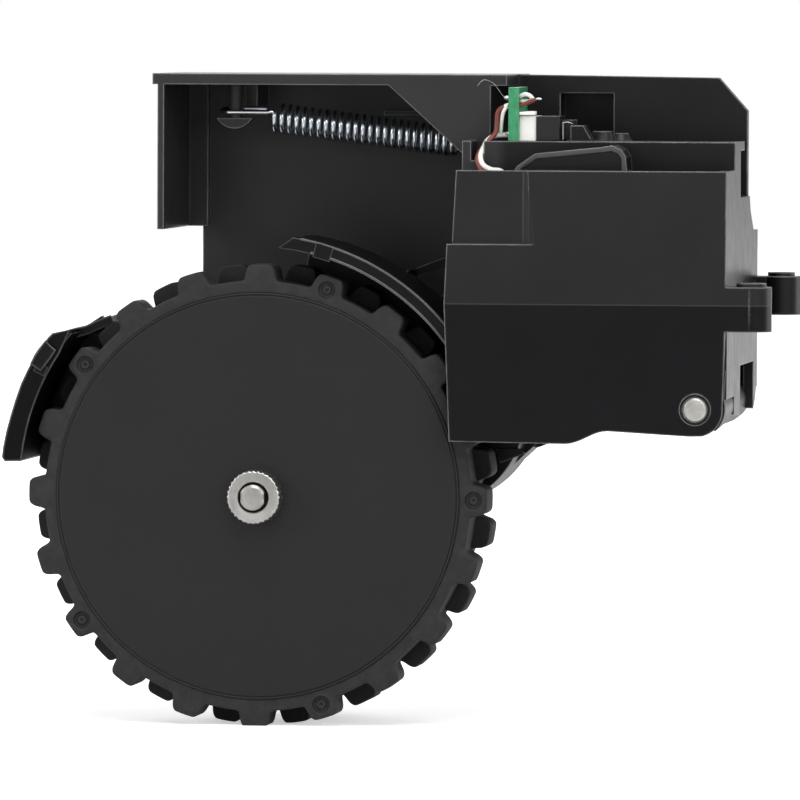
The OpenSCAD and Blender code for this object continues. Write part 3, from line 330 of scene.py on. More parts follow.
# Pale edge tones: partly wear, partly a painted highlight.
FRAME_EDGE_WEAR_AND_HIGHLIGHT = (0.23, 0.23, 0.235)
ARM_EDGE_WEAR_AND_HIGHLIGHT = (0.11, 0.11, 0.112)
MATERIALS = {
    "black_abs": plastic("black_abs", (0.0022, 0.0022, 0.0024), (0.0065, 0.0065, 0.0068), 0.34, 0.18,
                         bevel=0.0003, pale=ARM_EDGE_WEAR_AND_HIGHLIGHT),
    # The frame: its left end painted lighter as painted light, its right end darker as painted shade.
    "black_abs_frame": plastic("black_abs_frame", (0.005, 0.005, 0.0053), (0.014, 0.014, 0.0145), 0.32, 0.24,
                               bevel=0.00036, pale=FRAME_EDGE_WEAR_AND_HIGHLIGHT, left=(0.023, 0.023, 0.0235),
                               right=(0.0015, 0.0015, 0.0015)),
    "black_guard": plastic("black_guard", (0.0018, 0.0018, 0.0019), (0.0055, 0.0055, 0.0058), 0.46, 0.1,
                           bevel=0.0003, pale=ARM_EDGE_WEAR_AND_HIGHLIGHT),
    # A pale copy of the black plastic for thin rims: a painted highlight.
    "black_abs_painted_highlight": plastic("black_abs_painted_highlight", (0.05, 0.05, 0.051), (0.09, 0.09, 0.091), 0.28, 0.35,
                              pale=FRAME_EDGE_WEAR_AND_HIGHLIGHT),
    # The cover: its upper half painted lighter as painted light, more so towards the top.
    "black_abs_cover": plastic("black_abs_cover", (0.0014, 0.0015, 0.0021), (0.0048, 0.005, 0.006), 0.3,
                               0.18, bevel=0.00036, pale=FRAME_EDGE_WEAR_AND_HIGHLIGHT, upper_painted_light=(0.0125, 0.0125, 0.0128)),
    "hub_plastic": plastic("hub_plastic", (0.0085, 0.0087, 0.0087), (0.0125, 0.0127, 0.0127), 0.46, 0.26),
    "tread_rubber": rubber("tread_rubber", (0.0095, 0.0095, 0.0098), (0.024, 0.024, 0.024)),
    # A darker copy of the tread rubber for the back row: painted shade.
    "tread_rubber_painted_shade": rubber("tread_rubber_painted_shade", (0.003, 0.003, 0.003), (0.010, 0.010, 0.010)),
    "ground_steel": steel("ground_steel", (0.66, 0.64, 0.60), 0.3, PIVOT_CENTRE),
    "turned_steel": steel("turned_steel", (0.50, 0.49, 0.47), 0.3, SHAFT_CENTRE, (0.27, 0.26, 0.245)),
    "zinc_steel": steel("zinc_steel", (0.55, 0.56, 0.58), 0.3),
    "spring_zinc": steel("spring_zinc", (0.74, 0.78, 0.83), 0.2, dark=(0.40, 0.44, 0.50)),
    "motor_steel": steel("motor_steel", (0.42, 0.42, 0.42), 0.35),
    "brass": steel("brass", (0.62, 0.43, 0.17), 0.3),
    "bronze": steel("bronze", (0.5, 0.31, 0.15), 0.45),
    "solder": steel("solder", (0.78, 0.78, 0.77), 0.32),
    "green_board": board("green_board"),
    "white_nylon": plastic("white_nylon", (0.80, 0.79, 0.75), (0.84, 0.83, 0.8), 0.38, 0.45, 4000, 0.00001),
    "gear_acetal": plastic("gear_acetal", (0.74, 0.72, 0.66), (0.8, 0.79, 0.74), 0.35, 0.45, 4000, 0.00001),
    "switch_black": plastic("switch_black", (0.007, 0.007, 0.008), (0.02, 0.02, 0.021), 0.25, 0.45),
    "lead_white": plastic("lead_white", (0.74, 0.73, 0.69), (0.8, 0.79, 0.75), 0.36, 0.4, 2000, 0.00001),
    "lead_red": plastic("lead_red", (0.13, 0.03, 0.02), (0.22, 0.075, 0.055), 0.38, 0.4, 2000, 0.00001),
}
SLOT_OF = {s["node"]: s["material_slot"] for s in frame["record"]["subparts"]}
TURNED_NODES = ("wheel_shaft", "retaining_nut", "axle_spacer", "shaft_clip")


def paint_nodes():
    """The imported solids: each takes its slot's material, the turned ones and the frame their own."""
    for name, node in NODES.items():
        if name in TURNED_NODES:
            material = MATERIALS["turned_steel"]
        elif name == "chassis_frame":
            material = MATERIALS["black_abs_frame"]
        else:
            material = MATERIALS.get(SLOT_OF.get(name), MATERIALS["black_abs"])
        node.data.materials.clear()
        node.data.materials.append(material)


paint_nodes()


# Outlines: lists of (x, z) points in millimetres
def circle(a, r):
    """A point of a round outline, at an angle."""
    return r * math.cos(a), r * math.sin(a)


def turns(count):
    """The angles of points evenly round a circle."""
    return [2 * math.pi * k / count for k in range(count)]


def arc(centre, r, start, end, steps):
    """Points along an arc, its ends in degrees."""
    angles = [math.radians(start + (end - start) * i / steps) for i in range(steps + 1)]
    return [(centre[0] + r * math.cos(a), centre[1] + r * math.sin(a)) for a in angles]


def rounded(points):
    """Cuts the corners of a closed outline, twice over."""
    for _ in range(2):
        out = []
        for i, a in enumerate(points):
            b = points[(i + 1) % len(points)]
            out.append(((a[0] * 3 + b[0]) / 4, (a[1] * 3 + b[1]) / 4))
            out.append(((a[0] + b[0] * 3) / 4, (a[1] + b[1] * 3) / 4))
        points = out
    return points


def inset(points, distance):
    """A closed outline, each point moved to the left of its way round."""
    out = []
    for i, p in enumerate(points):
        a = Vector(points[i - 1])
        b = Vector(points[(i + 1) % len(points)])
        along = (b - a).normalized()
        out.append((p[0] - along.y * distance, p[1] + along.x * distance))
    return out


# Mesh tools. A wire's rounded end is given in shares of its radius.
END_WIDTH = 0.6
END_DEPTH = 0.35


def catmull(points, steps):
    """A smooth curve through given points."""
    p = [Vector(v) for v in points]
    out = []
    for i in range(len(p) - 1):
        a, b, c, d = p[max(i - 1, 0)], p[i], p[i + 1], p[min(i + 2, len(p) - 1)]
        for k in range(steps):
            t = k / steps
            out.append(0.5 * (2 * b + (c - a) * t + (2 * a - 5 * b + 4 * c - d) * t * t
                              + (3 * b - a - 3 * c + d) * t ** 3))
    out.append(p[-1])
    return out


def tube(bm, path, radius, sides=12):
    """A round wire along a path, with ends that are slightly rounded."""
    last = len(path) - 1
    tangents = [(path[min(i + 1, last)] - path[max(i - 1, 0)]).normalized() for i in range(last + 1)]
    normal = tangents[0].orthogonal().normalized()
    rings = []
    for point, tangent in zip(path, tangents):
        normal = (normal - tangent * normal.dot(tangent)).normalized()
        side = tangent.cross(normal)
        rings.append([bm.verts.new(point + (normal * math.cos(a) + side * math.sin(a)) * radius)
                      for a in turns(sides)])
    for a, b in zip(rings, rings[1:]):
        for k in range(sides):
            bm.faces.new((a[k], a[(k + 1) % sides], b[(k + 1) % sides], b[k]))
    for end, step, order in ((rings[0], -tangents[0], -1), (rings[-1], tangents[-1], 1)):
        centre = sum((v.co for v in end), Vector()) / sides
        inner = []
        for v in end:
            spoke = v.co - centre
            inner.append(bm.verts.new(centre + spoke * END_WIDTH + step * spoke.length * END_DEPTH))
        for k in range(sides):
            quad = (end[k], end[(k + 1) % sides], inner[(k + 1) % sides], inner[k])
            bm.faces.new(quad if order > 0 else quad[::-1])
        bm.faces.new(inner if order > 0 else inner[::-1])


def wire(bm, points, steps, radius, sides):
    """A tube along a smooth curve through points of the part."""
    tube(bm, catmull([at(*p) for p in points], steps), radius, sides)


def ring(bm, points, y, centre=(0.0, 0.0)):
    """One outline's vertices at a depth of the part."""
    return [bm.verts.new(at(centre[0] + x, y, centre[1] + z)) for x, z in points]


def stitch(bm, rings):
    """Faces between each ring and the next."""
    n = len(rings[0])
    for a, b in zip(rings, rings[1:]):
        for k in range(n):
            bm.faces.new((a[k], b[k], b[(k + 1) % n], a[(k + 1) % n]))


def cap(bm, rings):
    """Faces that close the first ring and the last."""
    bm.faces.new(rings[0])
    bm.faces.new(rings[-1][::-1])


def lathe(bm, stations, sides):
    """Rings about the wheel's axis. A station has a depth, a radius and the function of its outline."""
    rings = [ring(bm, [outline(a, r) for a in turns(sides)], y, WHEEL) for y, r, outline in stations]
    stitch(bm, rings)
    return rings


def blob(bm, centre, size, seed):
    """A small solder joint: a round mound, slightly lumpy."""
    made = bmesh.ops.create_icosphere(bm, subdivisions=3, radius=1.0)
    for v in made["verts"]:
        d = v.co.normalized()
        coarse = noise.noise(d * 1.7 + Vector((seed, 0, 0)))
        fine = noise.noise(d * 5 + Vector((0, seed, 0)))
        lump = 1 + 0.16 * coarse + 0.05 * fine
        v.co = Vector((d.x * size[0], d.y * size[1], d.z * size[2])) * lump + Vector(centre)


def rounded_box(bm, low, high, radius):
    """A small block with all its edges rounded."""
    made = bmesh.ops.create_cube(bm, size=1.0)
    for v in made["verts"]:
        v.co = Vector([(low[i] + high[i]) / 2 + v.co[i] * (high[i] - low[i]) for i in range(3)])
    edges = list({e for v in made["verts"] for e in v.link_edges})
    bmesh.ops.bevel(bm, geom=edges, offset=radius, segments=3, affect="EDGES", profile=0.5)


def soften(obj, degrees):
    """Smooth shading that stays crisp at corners sharper than this."""
    limit = math.radians(degrees)
    bm = bmesh.new()
    bm.from_mesh(obj.data)
    for e in bm.edges:
        e.smooth = len(e.link_faces) == 2 and e.calc_face_angle(0.0) < limit
    bm.to_mesh(obj.data)
    bm.free()


def mesh_object(name, bm):
    """An object in the scene, made of the mesh that was built."""
    mesh = bpy.data.meshes.new(name)
    bmesh.ops.recalc_face_normals(bm, faces=bm.faces)
    bm.to_mesh(mesh)
    bm.free()
    obj = bpy.data.objects.new(name, mesh)
    bpy.context.scene.collection.objects.link(obj)
    return obj


def dress(obj, material, body, degrees=None, replaces=()):
    """Material, shading and body of a piece, with the imported solids that it replaces hidden; a piece given
    no body is left without one.
    """
    obj.data.materials.clear()
    obj.data.materials.append(MATERIALS[material])
    for face in obj.data.polygons:
        face.use_smooth = True
    if degrees:
        soften(obj, degrees)
    if body:
        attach(obj, body)
    if replaces:
        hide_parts(*replaces)
    return obj


def piece(name, bm, material, body, degrees=None, replaces=()):
    """A dressed piece, straight from the mesh that was built."""
    return dress(mesh_object(name, bm), material, body, degrees, replaces)


def cut(target, tools):
    """Takes the tools' shapes out of the target, then removes the tools."""
    for tool in tools:
        mod = target.modifiers.new("cut", "BOOLEAN")
        mod.object = tool
        mod.operation = "DIFFERENCE"
        mod.solver = "EXACT"
    mesh = bpy.data.meshes.new_from_object(target.evaluated_get(bpy.context.evaluated_depsgraph_get()))
    target.modifiers.clear()
    old = target.data
    target.data = mesh
    bpy.data.meshes.remove(old)
    for tool in tools:
        old = tool.data
        bpy.data.objects.remove(tool)
        bpy.data.meshes.remove(old)


def loft(bm, rings):
    """A closed solid through the rings, its end faces in triangles."""
    stitch(bm, rings)
    cap(bm, rings)
    bmesh.ops.triangulate(bm, faces=[f for f in bm.faces if len(f.verts) > 4])


def extruded(name, outline, y_front, y_back, radius, material, body):
    """A moulded outline carried back along Y, its front and back edges rounded."""
    bm = bmesh.new()
    rings = [ring(bm, inset(outline, d), y)
             for y, d in ((y_front, radius), (y_front + radius * 0.3, radius * 0.3), (y_front + radius, 0.0),
                          (y_back - radius, 0.0), (y_back - radius * 0.3, radius * 0.3), (y_back, radius))]
    loft(bm, rings)
    piece(name, bm, material, body, 30)


# Return spring: a level hook round the roof's post, open coils, and a hook round the arm's horn
ANCHOR = at(-75.8, 30, 44.72)
HORN = at(-36.2, 30, 38.85)
COIL_START = at(-69.3, 30, 43.63)
COIL_END = at(-40.3, 30, 39.91)
WIRE_R = 0.00036
COIL_R = 0.00206
HOOK_R = 0.00156
HOOK_TILT = 0.17
TURNS = 25
COIL_STEPS = 28
COIL_PHASE = math.radians(158)
LEAD_IN = 0.0003
DRAWN_IN = 0.28


def make_spring():
    along = (COIL_END - COIL_START).normalized()
    up = along.cross(Vector((0, 1, 0)))
    length = (COIL_END - COIL_START).length
    last = TURNS * COIL_STEPS

    def coil(s, a, r=COIL_R):
        return COIL_START + along * s + (Vector((0, 1, 0)) * math.cos(a) + up * math.sin(a)) * r

    def eye(a):
        v = HOOK_R * math.sin(a)
        return ANCHOR + Vector((HOOK_R * math.cos(a), v, HOOK_TILT * v))

    # The eye is closed: its free end runs back beside the shank to the first coil.
    free = [ANCHOR + Vector((d, HOOK_R * w, HOOK_TILT * HOOK_R))
            for d, w in ((0.0052, 0.9), (0.0036, 0.98), (0.0016, 1.0))]
    bend = [eye(math.radians(70 + 20 * k)) for k in range(11)]
    shank = [ANCHOR + Vector((d, -HOOK_R, -HOOK_TILT * HOOK_R)) for d in (0.0012, 0.0028, 0.0044, 0.0058)]
    shank += [coil(0.0, math.radians(151), COIL_R * 0.98), coil(LEAD_IN, COIL_PHASE)]
    path = catmull(free + bend + shank, 4)[:-1]
    for i in range(last + 1):
        fade = min(1.0, (last - i) / COIL_STEPS)
        path.append(coil(LEAD_IN + length * i / last, COIL_PHASE + 2 * math.pi * i / COIL_STEPS,
                         COIL_R * (1 - DRAWN_IN + DRAWN_IN * fade)))
    tail = [path[-1], HORN + Vector((-0.0024, -0.0013, 0.0003))]
    tail += [HORN + Vector((*circle(math.radians(220 - 20 * k), HOOK_R), 0)) for k in range(15)]
    path += catmull(tail, 3)[1:]
    bm = bmesh.new()
    tube(bm, path, WIRE_R)
    spring = piece("return_spring_wire", bm, "spring_zinc", None, replaces=("return_spring",))
    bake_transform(spring)


make_spring()

# Motor leads, from the board's joints down behind the cover to the motor's terminals
WHITE_ROUTE = ((-30.95, 17.5, 41.27), (-32.19, 17.2, 41.27), (-33.06, 16.8, 41.11), (-33.91, 15.6, 40.43),
               (-34.31, 14, 39.38), (-34.56, 12.4, 38.1), (-34.04, 11.4, 36.82), (-32.67, 10.4, 36.08),
               (-30.63, 9, 35.58), (-29.2, 6.4, 32.4), (-29.2, 4.4, 28), (-28.4, 3.4, 24),
               (-26.6, 3.0, 22.73))
RED_ROUTE = ((-31.0, 16.4, 45.73), (-32.0, 16.2, 45.27), (-32.46, 16.2, 44.5), (-32.56, 16.2, 42.97),
             (-32.73, 16.0, 41.59), (-33.65, 15.4, 40.44), (-34.62, 14, 39.15), (-35.05, 12.4, 37.79),
             (-34.68, 11.6, 36.58), (-33.77, 10.6, 35.68), (-30.5, 7.5, 34.4), (-24, 4.0, 32.6),
             (-18, 3.2, 29.0), (-14.94, 3.0, 22.93))


def make_leads():
    for name, route, radius in (("white", WHITE_ROUTE, 0.0004), ("red", RED_ROUTE, 0.00038)):
        bm = bmesh.new()
        wire(bm, route, 8, radius, 12)
        lead = piece("motor_lead_%s_wire" % name, bm, "lead_" + name, None,
                     replaces=("motor_lead_" + name,))
        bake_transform(lead)


make_leads()

# Small things on the circuit board: a joint has its centre and half sizes in millimetres
SOLDER_JOINTS = (
    ((-30.95, 15.9, 47.0), (0.5, 0.42, 0.34)),
    ((-31.0, 16.3, 45.75), (0.55, 0.5, 0.42)),
    ((-30.95, 17.4, 41.45), (0.6, 0.5, 0.36)),
    ((-30.9, 21.0, 46.4), (0.4, 0.5, 0.45)),
    ((-30.9, 21.0, 43.6), (0.4, 0.5, 0.45)),
    ((-30.9, 23.4, 45.0), (0.4, 0.45, 0.4)),
)
# A wire has its radius in metres, its sides, the steps between its points, and the points
BOARD_WIRES = (
    ("board_jumper_white", "lead_white", "lead_white", (
        (0.00034, 12, 8, ((-29.0, 16.2, 47.2), (-28.2, 16.0, 47.55), (-27.4, 16.0, 47.3),
                          (-27.1, 16.2, 46.75), (-27.7, 16.5, 46.45), (-28.9, 16.6, 46.5))),
        (0.0003, 12, 8, ((-30.95, 15.95, 45.66), (-31.55, 16.1, 44.7), (-31.9, 16.6, 42.97),
                         (-32.05, 17.0, 41.5))))),
    ("board_jumper_red", "lead_red", "lead_red", (
        (0.00032, 12, 8, ((-29.0, 15.8, 45.75), (-28.2, 15.6, 46.05), (-27.2, 15.5, 46.5),
                          (-26.5, 15.5, 46.75))),)),
    ("board_jumper_end", "solder", "zinc_steel", (
        (0.00016, 8, 6, ((-26.55, 15.5, 46.72), (-26.1, 15.5, 46.85), (-25.6, 15.5, 46.8))),)),
    ("board_stray_strands", "motor_steel", "zinc_steel", (
        (0.000045, 6, 8, ((-31.0, 15.8, 46.9), (-31.56, 15.7, 47.3), (-32.4, 15.5, 48.5),
                          (-33.1, 15.3, 49.3), (-34.2, 14.9, 49.75), (-34.9, 14.6, 49.4),
                          (-35.3, 14.4, 48.8))),)),
    ("switch_spring_pin", "motor_steel", "zinc_steel", (
        (0.0001, 10, 4, ((-22.15, 14.9, 43.3), (-22.14, 14.9, 42), (-22.12, 14.9, 40.55))),
        (0.00008, 8, 4, ((-22.15, 14.9, 43.2), (-21.4, 14.95, 43.3), (-20.7, 15.0, 43.05))))),
)
LATCH_BLOCKS = (((-29.0, 15.3, 44.35), (-26.5, 17.2, 44.85)), ((-28.9, 18.4, 44.3), (-27.3, 23.6, 44.9)))
LATCH_EDGE = 0.00012


def make_board_details():
    """Solder joints, stripped ends, the switch's spring and the connector's latch."""
    bm = bmesh.new()
    for i, (centre, size) in enumerate(SOLDER_JOINTS):
        blob(bm, at(*centre), tuple(v / 1000 for v in size), i * 3.7)
    piece("board_solder", bm, "solder", "frame")
    for name, material, slot, wires in BOARD_WIRES:
        bm = bmesh.new()
        for radius, sides, steps, points in wires:
            wire(bm, points, steps, radius, sides)
        piece(name, bm, material, "frame")
    bm = bmesh.new()
    for low, high in LATCH_BLOCKS:
        rounded_box(bm, at(*low), at(*high), LATCH_EDGE)
    piece("connector_latch", bm, "white_nylon", "frame")


make_board_details()

# Wheel shaft and nut: two flats and a bright chamfer, soft knurls round a counterbore
SHAFT_R = 1.96
SHAFT_BACK_R = 1.99
SHAFT_FLAT = 1.8
NUT_R = 4.15
NUT_BORE_R = 2.02
KNURLS = 32
KNURL_DEPTH = 0.032


def double_d(a, r):
    """A point of the shaft's outline, with its two flats."""
    return max(-SHAFT_FLAT, min(SHAFT_FLAT, r * math.cos(a))), r * math.sin(a)


def knurl(a, r):
    """A point of the nut's outline, its knurls not all equally deep."""
    groove = 0.5 - 0.5 * math.cos(KNURLS * a)
    return circle(a, r * (1 - KNURL_DEPTH * groove * (1 + 0.3 * math.sin(5 * a + 0.6))))


def depths(node):
    """How far forward and back a node reaches, in the part's millimetres."""
    low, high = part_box(node)
    return low[1] * 1000 + ORIGIN[1], high[1] * 1000 + ORIGIN[1]


def make_shaft():
    front, back = depths("wheel_shaft")
    seat = depths("retaining_nut")[0] + 1.6
    bm = bmesh.new()
    rings = lathe(bm, ((front, 0.9, circle), (front, 1.58, double_d), (front + 0.08, 1.64, double_d),
                       (front + 0.26, 1.9, double_d), (front + 0.38, SHAFT_R, double_d),
                       (seat, SHAFT_R, double_d), (seat + 0.1, SHAFT_BACK_R, circle),
                       (back - 0.35, SHAFT_BACK_R, circle), (back - 0.1, 1.8, circle), (back, 1.66, circle),
                       (back, 0.8, circle)), 96)
    cap(bm, rings)
    piece("wheel_shaft_turned", bm, "turned_steel", "wheel", 28, ("wheel_shaft",))


def make_nut():
    """The nut with its counterbore, and a dark ring in it that stands for the counterbore's shade: painted
    shade.
    """
    front, back = depths("retaining_nut")
    bm = bmesh.new()
    lathe(bm, ((front + 1.6, NUT_BORE_R, circle), (front + 0.72, 2.05, circle), (front + 0.66, 2.12, circle),
               (front + 0.6, 2.3, circle), (front + 0.08, 2.36, circle), (front + 0.02, 2.42, circle),
               (front, 2.5, circle), (front + 0.05, 2.62, circle), (front + 0.05, 3.5, circle),
               (front + 0.07, NUT_R - 0.26, knurl), (front + 0.14, NUT_R - 0.13, knurl),
               (front + 0.28, NUT_R - 0.03, knurl), (front + 0.5, NUT_R, knurl), (back - 0.4, NUT_R, knurl),
               (back - 0.1, NUT_R - 0.25, circle), (back, NUT_R - 0.4, circle), (back, NUT_BORE_R, circle),
               (front + 1.6, NUT_BORE_R, circle)), 256)
    piece("retaining_nut_knurled", bm, "turned_steel", "wheel", 40, ("retaining_nut",))
    # A dark ring in the counterbore's groove: painted shade.
    bm = bmesh.new()
    lathe(bm, ((front + 0.9, 1.7, circle), (front + 0.5, 1.7, circle), (front + 0.42, 1.9, circle),
               (front + 0.4, 2.1, circle), (front + 0.42, 2.3, circle), (front + 0.5, 2.4, circle),
               (front + 0.9, 2.4, circle), (front + 0.9, 1.7, circle)), 96)
    piece("nut_groove_painted_shade", bm, "black_guard", "wheel")


make_shaft()
make_nut()

# Tyre: two staggered rows of lugs with rounded edges, and five recesses in the front row
TREAD_R = 35.5
BAND_R = 33.0
RIM_R = 31.2
TYRE_FRONT = 4.0
TYRE_BACK = 18.0
TYRE_MIDDLE = (TYRE_FRONT + TYRE_BACK) / 2
LUGS = 20
LUG_FIRST = -0.6
LUG_RADII = (BAND_R, BAND_R + 0.12, BAND_R + 0.55, TREAD_R - 0.75, TREAD_R - 0.12, TREAD_R)
LUG_WIDTHS = (3.0, 2.62, 2.42, 2.2, 1.75, 1.2)
LUG_UNEVEN = 0.02
RECESS_EVERY = 4
RECESS_OUT = 33.35
RECESS_SIDES = 40
RECESS = ((-0.5, 1.42), (0.02, 1.38), (0.55, 1.2), (0.6, 0.72), (0.2, 0.6), (0.18, 0.34), (0.42, 0.24))


def lug_outline(phase):
    """One row's outline about the wheel's axis, no two lugs quite alike."""
    gap = math.radians(360 / LUGS) - 2 * LUG_WIDTHS[0] / BAND_R
    profile = list(enumerate(zip(LUG_RADII, LUG_WIDTHS)))
    points = []
    for i in range(LUGS):
        mid = math.radians(phase + 360 * i / LUGS)
        for k, (r, width) in profile:
            points.append((r, mid - width / r * (1 + LUG_UNEVEN * math.sin(i * 2.3 + k))))
        for k, (r, width) in reversed(profile):
            points.append((r, mid + width / r * (1 + LUG_UNEVEN * math.cos(i * 1.7 + k))))
        for t in (0.25, 0.5, 0.75):
            points.append((BAND_R, mid + LUG_WIDTHS[0] / BAND_R + gap * t))
    return rounded([circle(a, r) for r, a in points])


def tyre_row(bm, outline, stations, inner_front, inner_back):
    """One row: the front face, rounded edges, the tread and the back face, round an inner bore."""
    rings = [ring(bm, inset(outline, d), y, WHEEL) for y, d in stations]
    angles = [math.atan2(z, x) for x, z in outline]
    front = ring(bm, [circle(a, inner_front) for a in angles], stations[0][0], WHEEL)
    back = ring(bm, [circle(a, inner_back) for a in angles], stations[-1][0], WHEEL)
    stitch(bm, [front, *rings, back, front])


def recess_tool(name, degrees):
    """What a round recess with its raised middle takes out of the front row."""
    x, z = circle(math.radians(degrees), RECESS_OUT)
    centre = (WHEEL[0] + x, WHEEL[1] + z)
    bm = bmesh.new()
    rings = [ring(bm, [circle(a, r) for a in turns(RECESS_SIDES)], TYRE_FRONT + d, centre)
             for d, r in RECESS]
    stitch(bm, rings)
    cap(bm, rings)
    return mesh_object(name, bm)


def make_tyre():
    bm = bmesh.new()
    tyre_row(bm, lug_outline(LUG_FIRST),
             ((TYRE_FRONT, 0.34), (TYRE_FRONT + 0.05, 0.18), (TYRE_FRONT + 0.16, 0.06),
              (TYRE_FRONT + 0.34, 0.0), (TYRE_MIDDLE - 0.2, 0.0), (TYRE_MIDDLE, 0.2)), RIM_R, RIM_R - 0.4)
    front = mesh_object("tyre_front_row", bm)
    cut(front, [recess_tool("tool%d" % k, LUG_FIRST + 360 * k / LUGS) for k in range(0, LUGS, RECESS_EVERY)])
    dress(front, "tread_rubber", "wheel", 40, ("tyre",))
    bm = bmesh.new()
    tyre_row(bm, lug_outline(LUG_FIRST + 180 / LUGS),
             ((TYRE_MIDDLE + 0.01, 0.12), (TYRE_MIDDLE + 0.2, 0.0), (TYRE_BACK - 0.4, 0.0),
              (TYRE_BACK - 0.12, 0.08), (TYRE_BACK, 0.36)), RIM_R - 0.4, RIM_R - 0.5)
    # The back row's darker rubber is painted shade.
    piece("tyre_back_row", bm, "tread_rubber_painted_shade", "wheel", 40)


make_tyre()

# The wheel disc's moulded face: a shallow dome, and a fine groove before the tyre
DISC_FRONT = 3.8
DISC_DOME = 0.6
DISC_PROUD = 0.12
DISC_EDGE_R = 30.7
DISC_INNER_R = 2.2
DISC_OUTER_R = 30.2
DISC_STEPS = 14
DISC_RINGS = ((3.68, 30.55), (3.7, 30.66), (3.86, 30.72), (3.86, 30.82), (3.72, 30.9), (3.72, 31.02),
              (3.8, 31.14), (4.2, 31.17), (4.6, 30.9))


def make_disc_face():
    stations = []
    for i in range(DISC_STEPS + 1):
        r = DISC_INNER_R + (DISC_OUTER_R - DISC_INNER_R) * i / DISC_STEPS
        y = DISC_FRONT - DISC_DOME * (1 - (r / DISC_EDGE_R) ** 2) - DISC_PROUD
        stations.append((y, r, circle))
    stations += [(y, r, circle) for y, r in DISC_RINGS]
    bm = bmesh.new()
    lathe(bm, stations, 160)
    piece("wheel_disc_face", bm, "hub_plastic", "wheel", 35)


make_disc_face()

# Guards on the arm: the left one's outer skin, step and lip, and the right one's two rims, painted pale as a
# painted highlight
GUARD_AXIS = (WHEEL[0] - 0.2, WHEEL[1] + 1.6)
LEFT_SKIN = [(-96.7, 11.25), (-99.15, 10.55), (-99.75, 9.95), (-101.0, 8.2), (-102.1, 6.5), (-102.9, 5.0),
             (-103.9, 2.9), (-104.75, 0.5), (-105.5, -1.9), (-106.15, -4.3), (-106.65, -6.7),
             (-106.85, -8.3), (-106.6, -8.75)]
LEFT_STEP = [(-100.25, 9.35), (-101.1, 8.15), (-101.75, 7.15), (-102.35, 6.1), (-101.0, 5.2), (-100.4, 6.1),
             (-99.7, 7.0), (-98.9, 8.1)]
LEFT_LIP = [(-91.7, 13.15), (-93.7, 12.35), (-95.5, 11.5), (-97.2, 11.1), (-99.1, 10.6), (-98.6, 9.5),
            (-96.6, 10.1), (-94.9, 10.6), (-93.2, 11.4), (-91.3, 12.2)]


def guard_band(outer, inner, start, end):
    """A thin band between two radii of the right guard, from one angle to the other and back."""
    return arc(GUARD_AXIS, outer, start, end, 40) + arc(GUARD_AXIS, inner, end, start, 40)


def make_guards():
    skin = (LEFT_SKIN + arc(GUARD_AXIS, 36.48, 174.2, 146.5, 14))[::-1]
    extruded("left_guard_skin", skin, 2.3, 23.2, 0.22, "black_guard", "arm")
    extruded("left_guard_step", LEFT_STEP[::-1], 1.75, 3.4, 0.3, "black_abs", "arm")
    extruded("left_guard_lip", LEFT_LIP[::-1], 11.0, 18.7, 0.2, "black_abs", "arm")
    bead = guard_band(38.62, 38.3, 14.5, 79.5)
    extruded("right_guard_bead", bead, 2.28, 3.3, 0.1, "black_abs_painted_highlight", "arm")
    rim = guard_band(36.95, 36.55, 14.5, 76.5)
    extruded("right_guard_rim", rim, 2.32, 3.4, 0.12, "black_abs_painted_highlight", "arm")


make_guards()

# Trim on the frame: the hood's raised rim, painted pale as a painted highlight, and the side wall's foot
# round the pivot's corner
RIM_OUTER = [(-28.6, 35.9), (-28.1, 36.7), (-25.35, 38.62), (-15.2, 39.62), (-13.5, 39.92), (-12.1, 39.3),
             (-11.4, 38.25), (-11.2, 35.9)]
RIM_INNER = [(-11.95, 35.9), (-12.1, 38.0), (-12.55, 38.65), (-13.6, 39.1), (-15.2, 38.85), (-25.1, 37.85),
             (-27.3, 36.4), (-27.7, 35.9)]
FOOT_OUTER_R = 4.54
FOOT_INNER_R = 3.8
FOOT_TOP = ((3.85, 5.9), (4.54, 5.9))
FOOT_RAISE = 0.2
FOOT_START = 18
FOOT_ENDS = ((1.3, -50), (5.5, -36), (10, -20), (15, -5), (19, 4), (21.2, 9))


def foot_arc(r, start, end):
    """Part of the foot's section round the pivot, raised a little on its right."""
    angles = [math.radians(start + (end - start) * k / 12) for k in range(13)]
    return [(r * math.cos(a), r * math.sin(a) + FOOT_RAISE * math.cos(a)) for a in angles]


def make_frame_trim():
    extruded("hood_rim", (RIM_OUTER + RIM_INNER)[::-1], 5.75, 6.6, 0.12, "black_abs_painted_highlight", "frame")
    bm = bmesh.new()
    rings = []
    for y, low in FOOT_ENDS:
        outer = foot_arc(FOOT_OUTER_R, FOOT_START, low)
        inner = foot_arc(FOOT_INNER_R, low, FOOT_START)
        rings.append(ring(bm, [*FOOT_TOP, *outer, *inner], y))
    loft(bm, rings)
    piece("side_wall_foot", bm, "black_abs_frame", "frame", 30)


make_frame_trim()

# Stage: floor, lamps and world; a lamp has its place, its watts and its width
FLOOR_Z = at(0, 0, -49.2).z
FLOOR_HALF = 3.0
LAMPS = (
    ("top", (0.05, -0.55, 0.95), 7.5, 0.7),
    ("key", (0.75, -0.75, 0.5), 3.5, 0.4),
    ("front", (0.55, -1.05, 0.02), 4.5, 0.35),
    ("front_left", (-0.5, -1.1, 0.1), 3.5, 0.35),
    ("side", (0.95, 0.45, 0.1), 3.0, 0.5),
    ("fill", (-0.9, -0.5, 0.3), 2.8, 0.4),
    ("back", (-0.3, 0.9, 0.6), 4.0, 0.5),
)


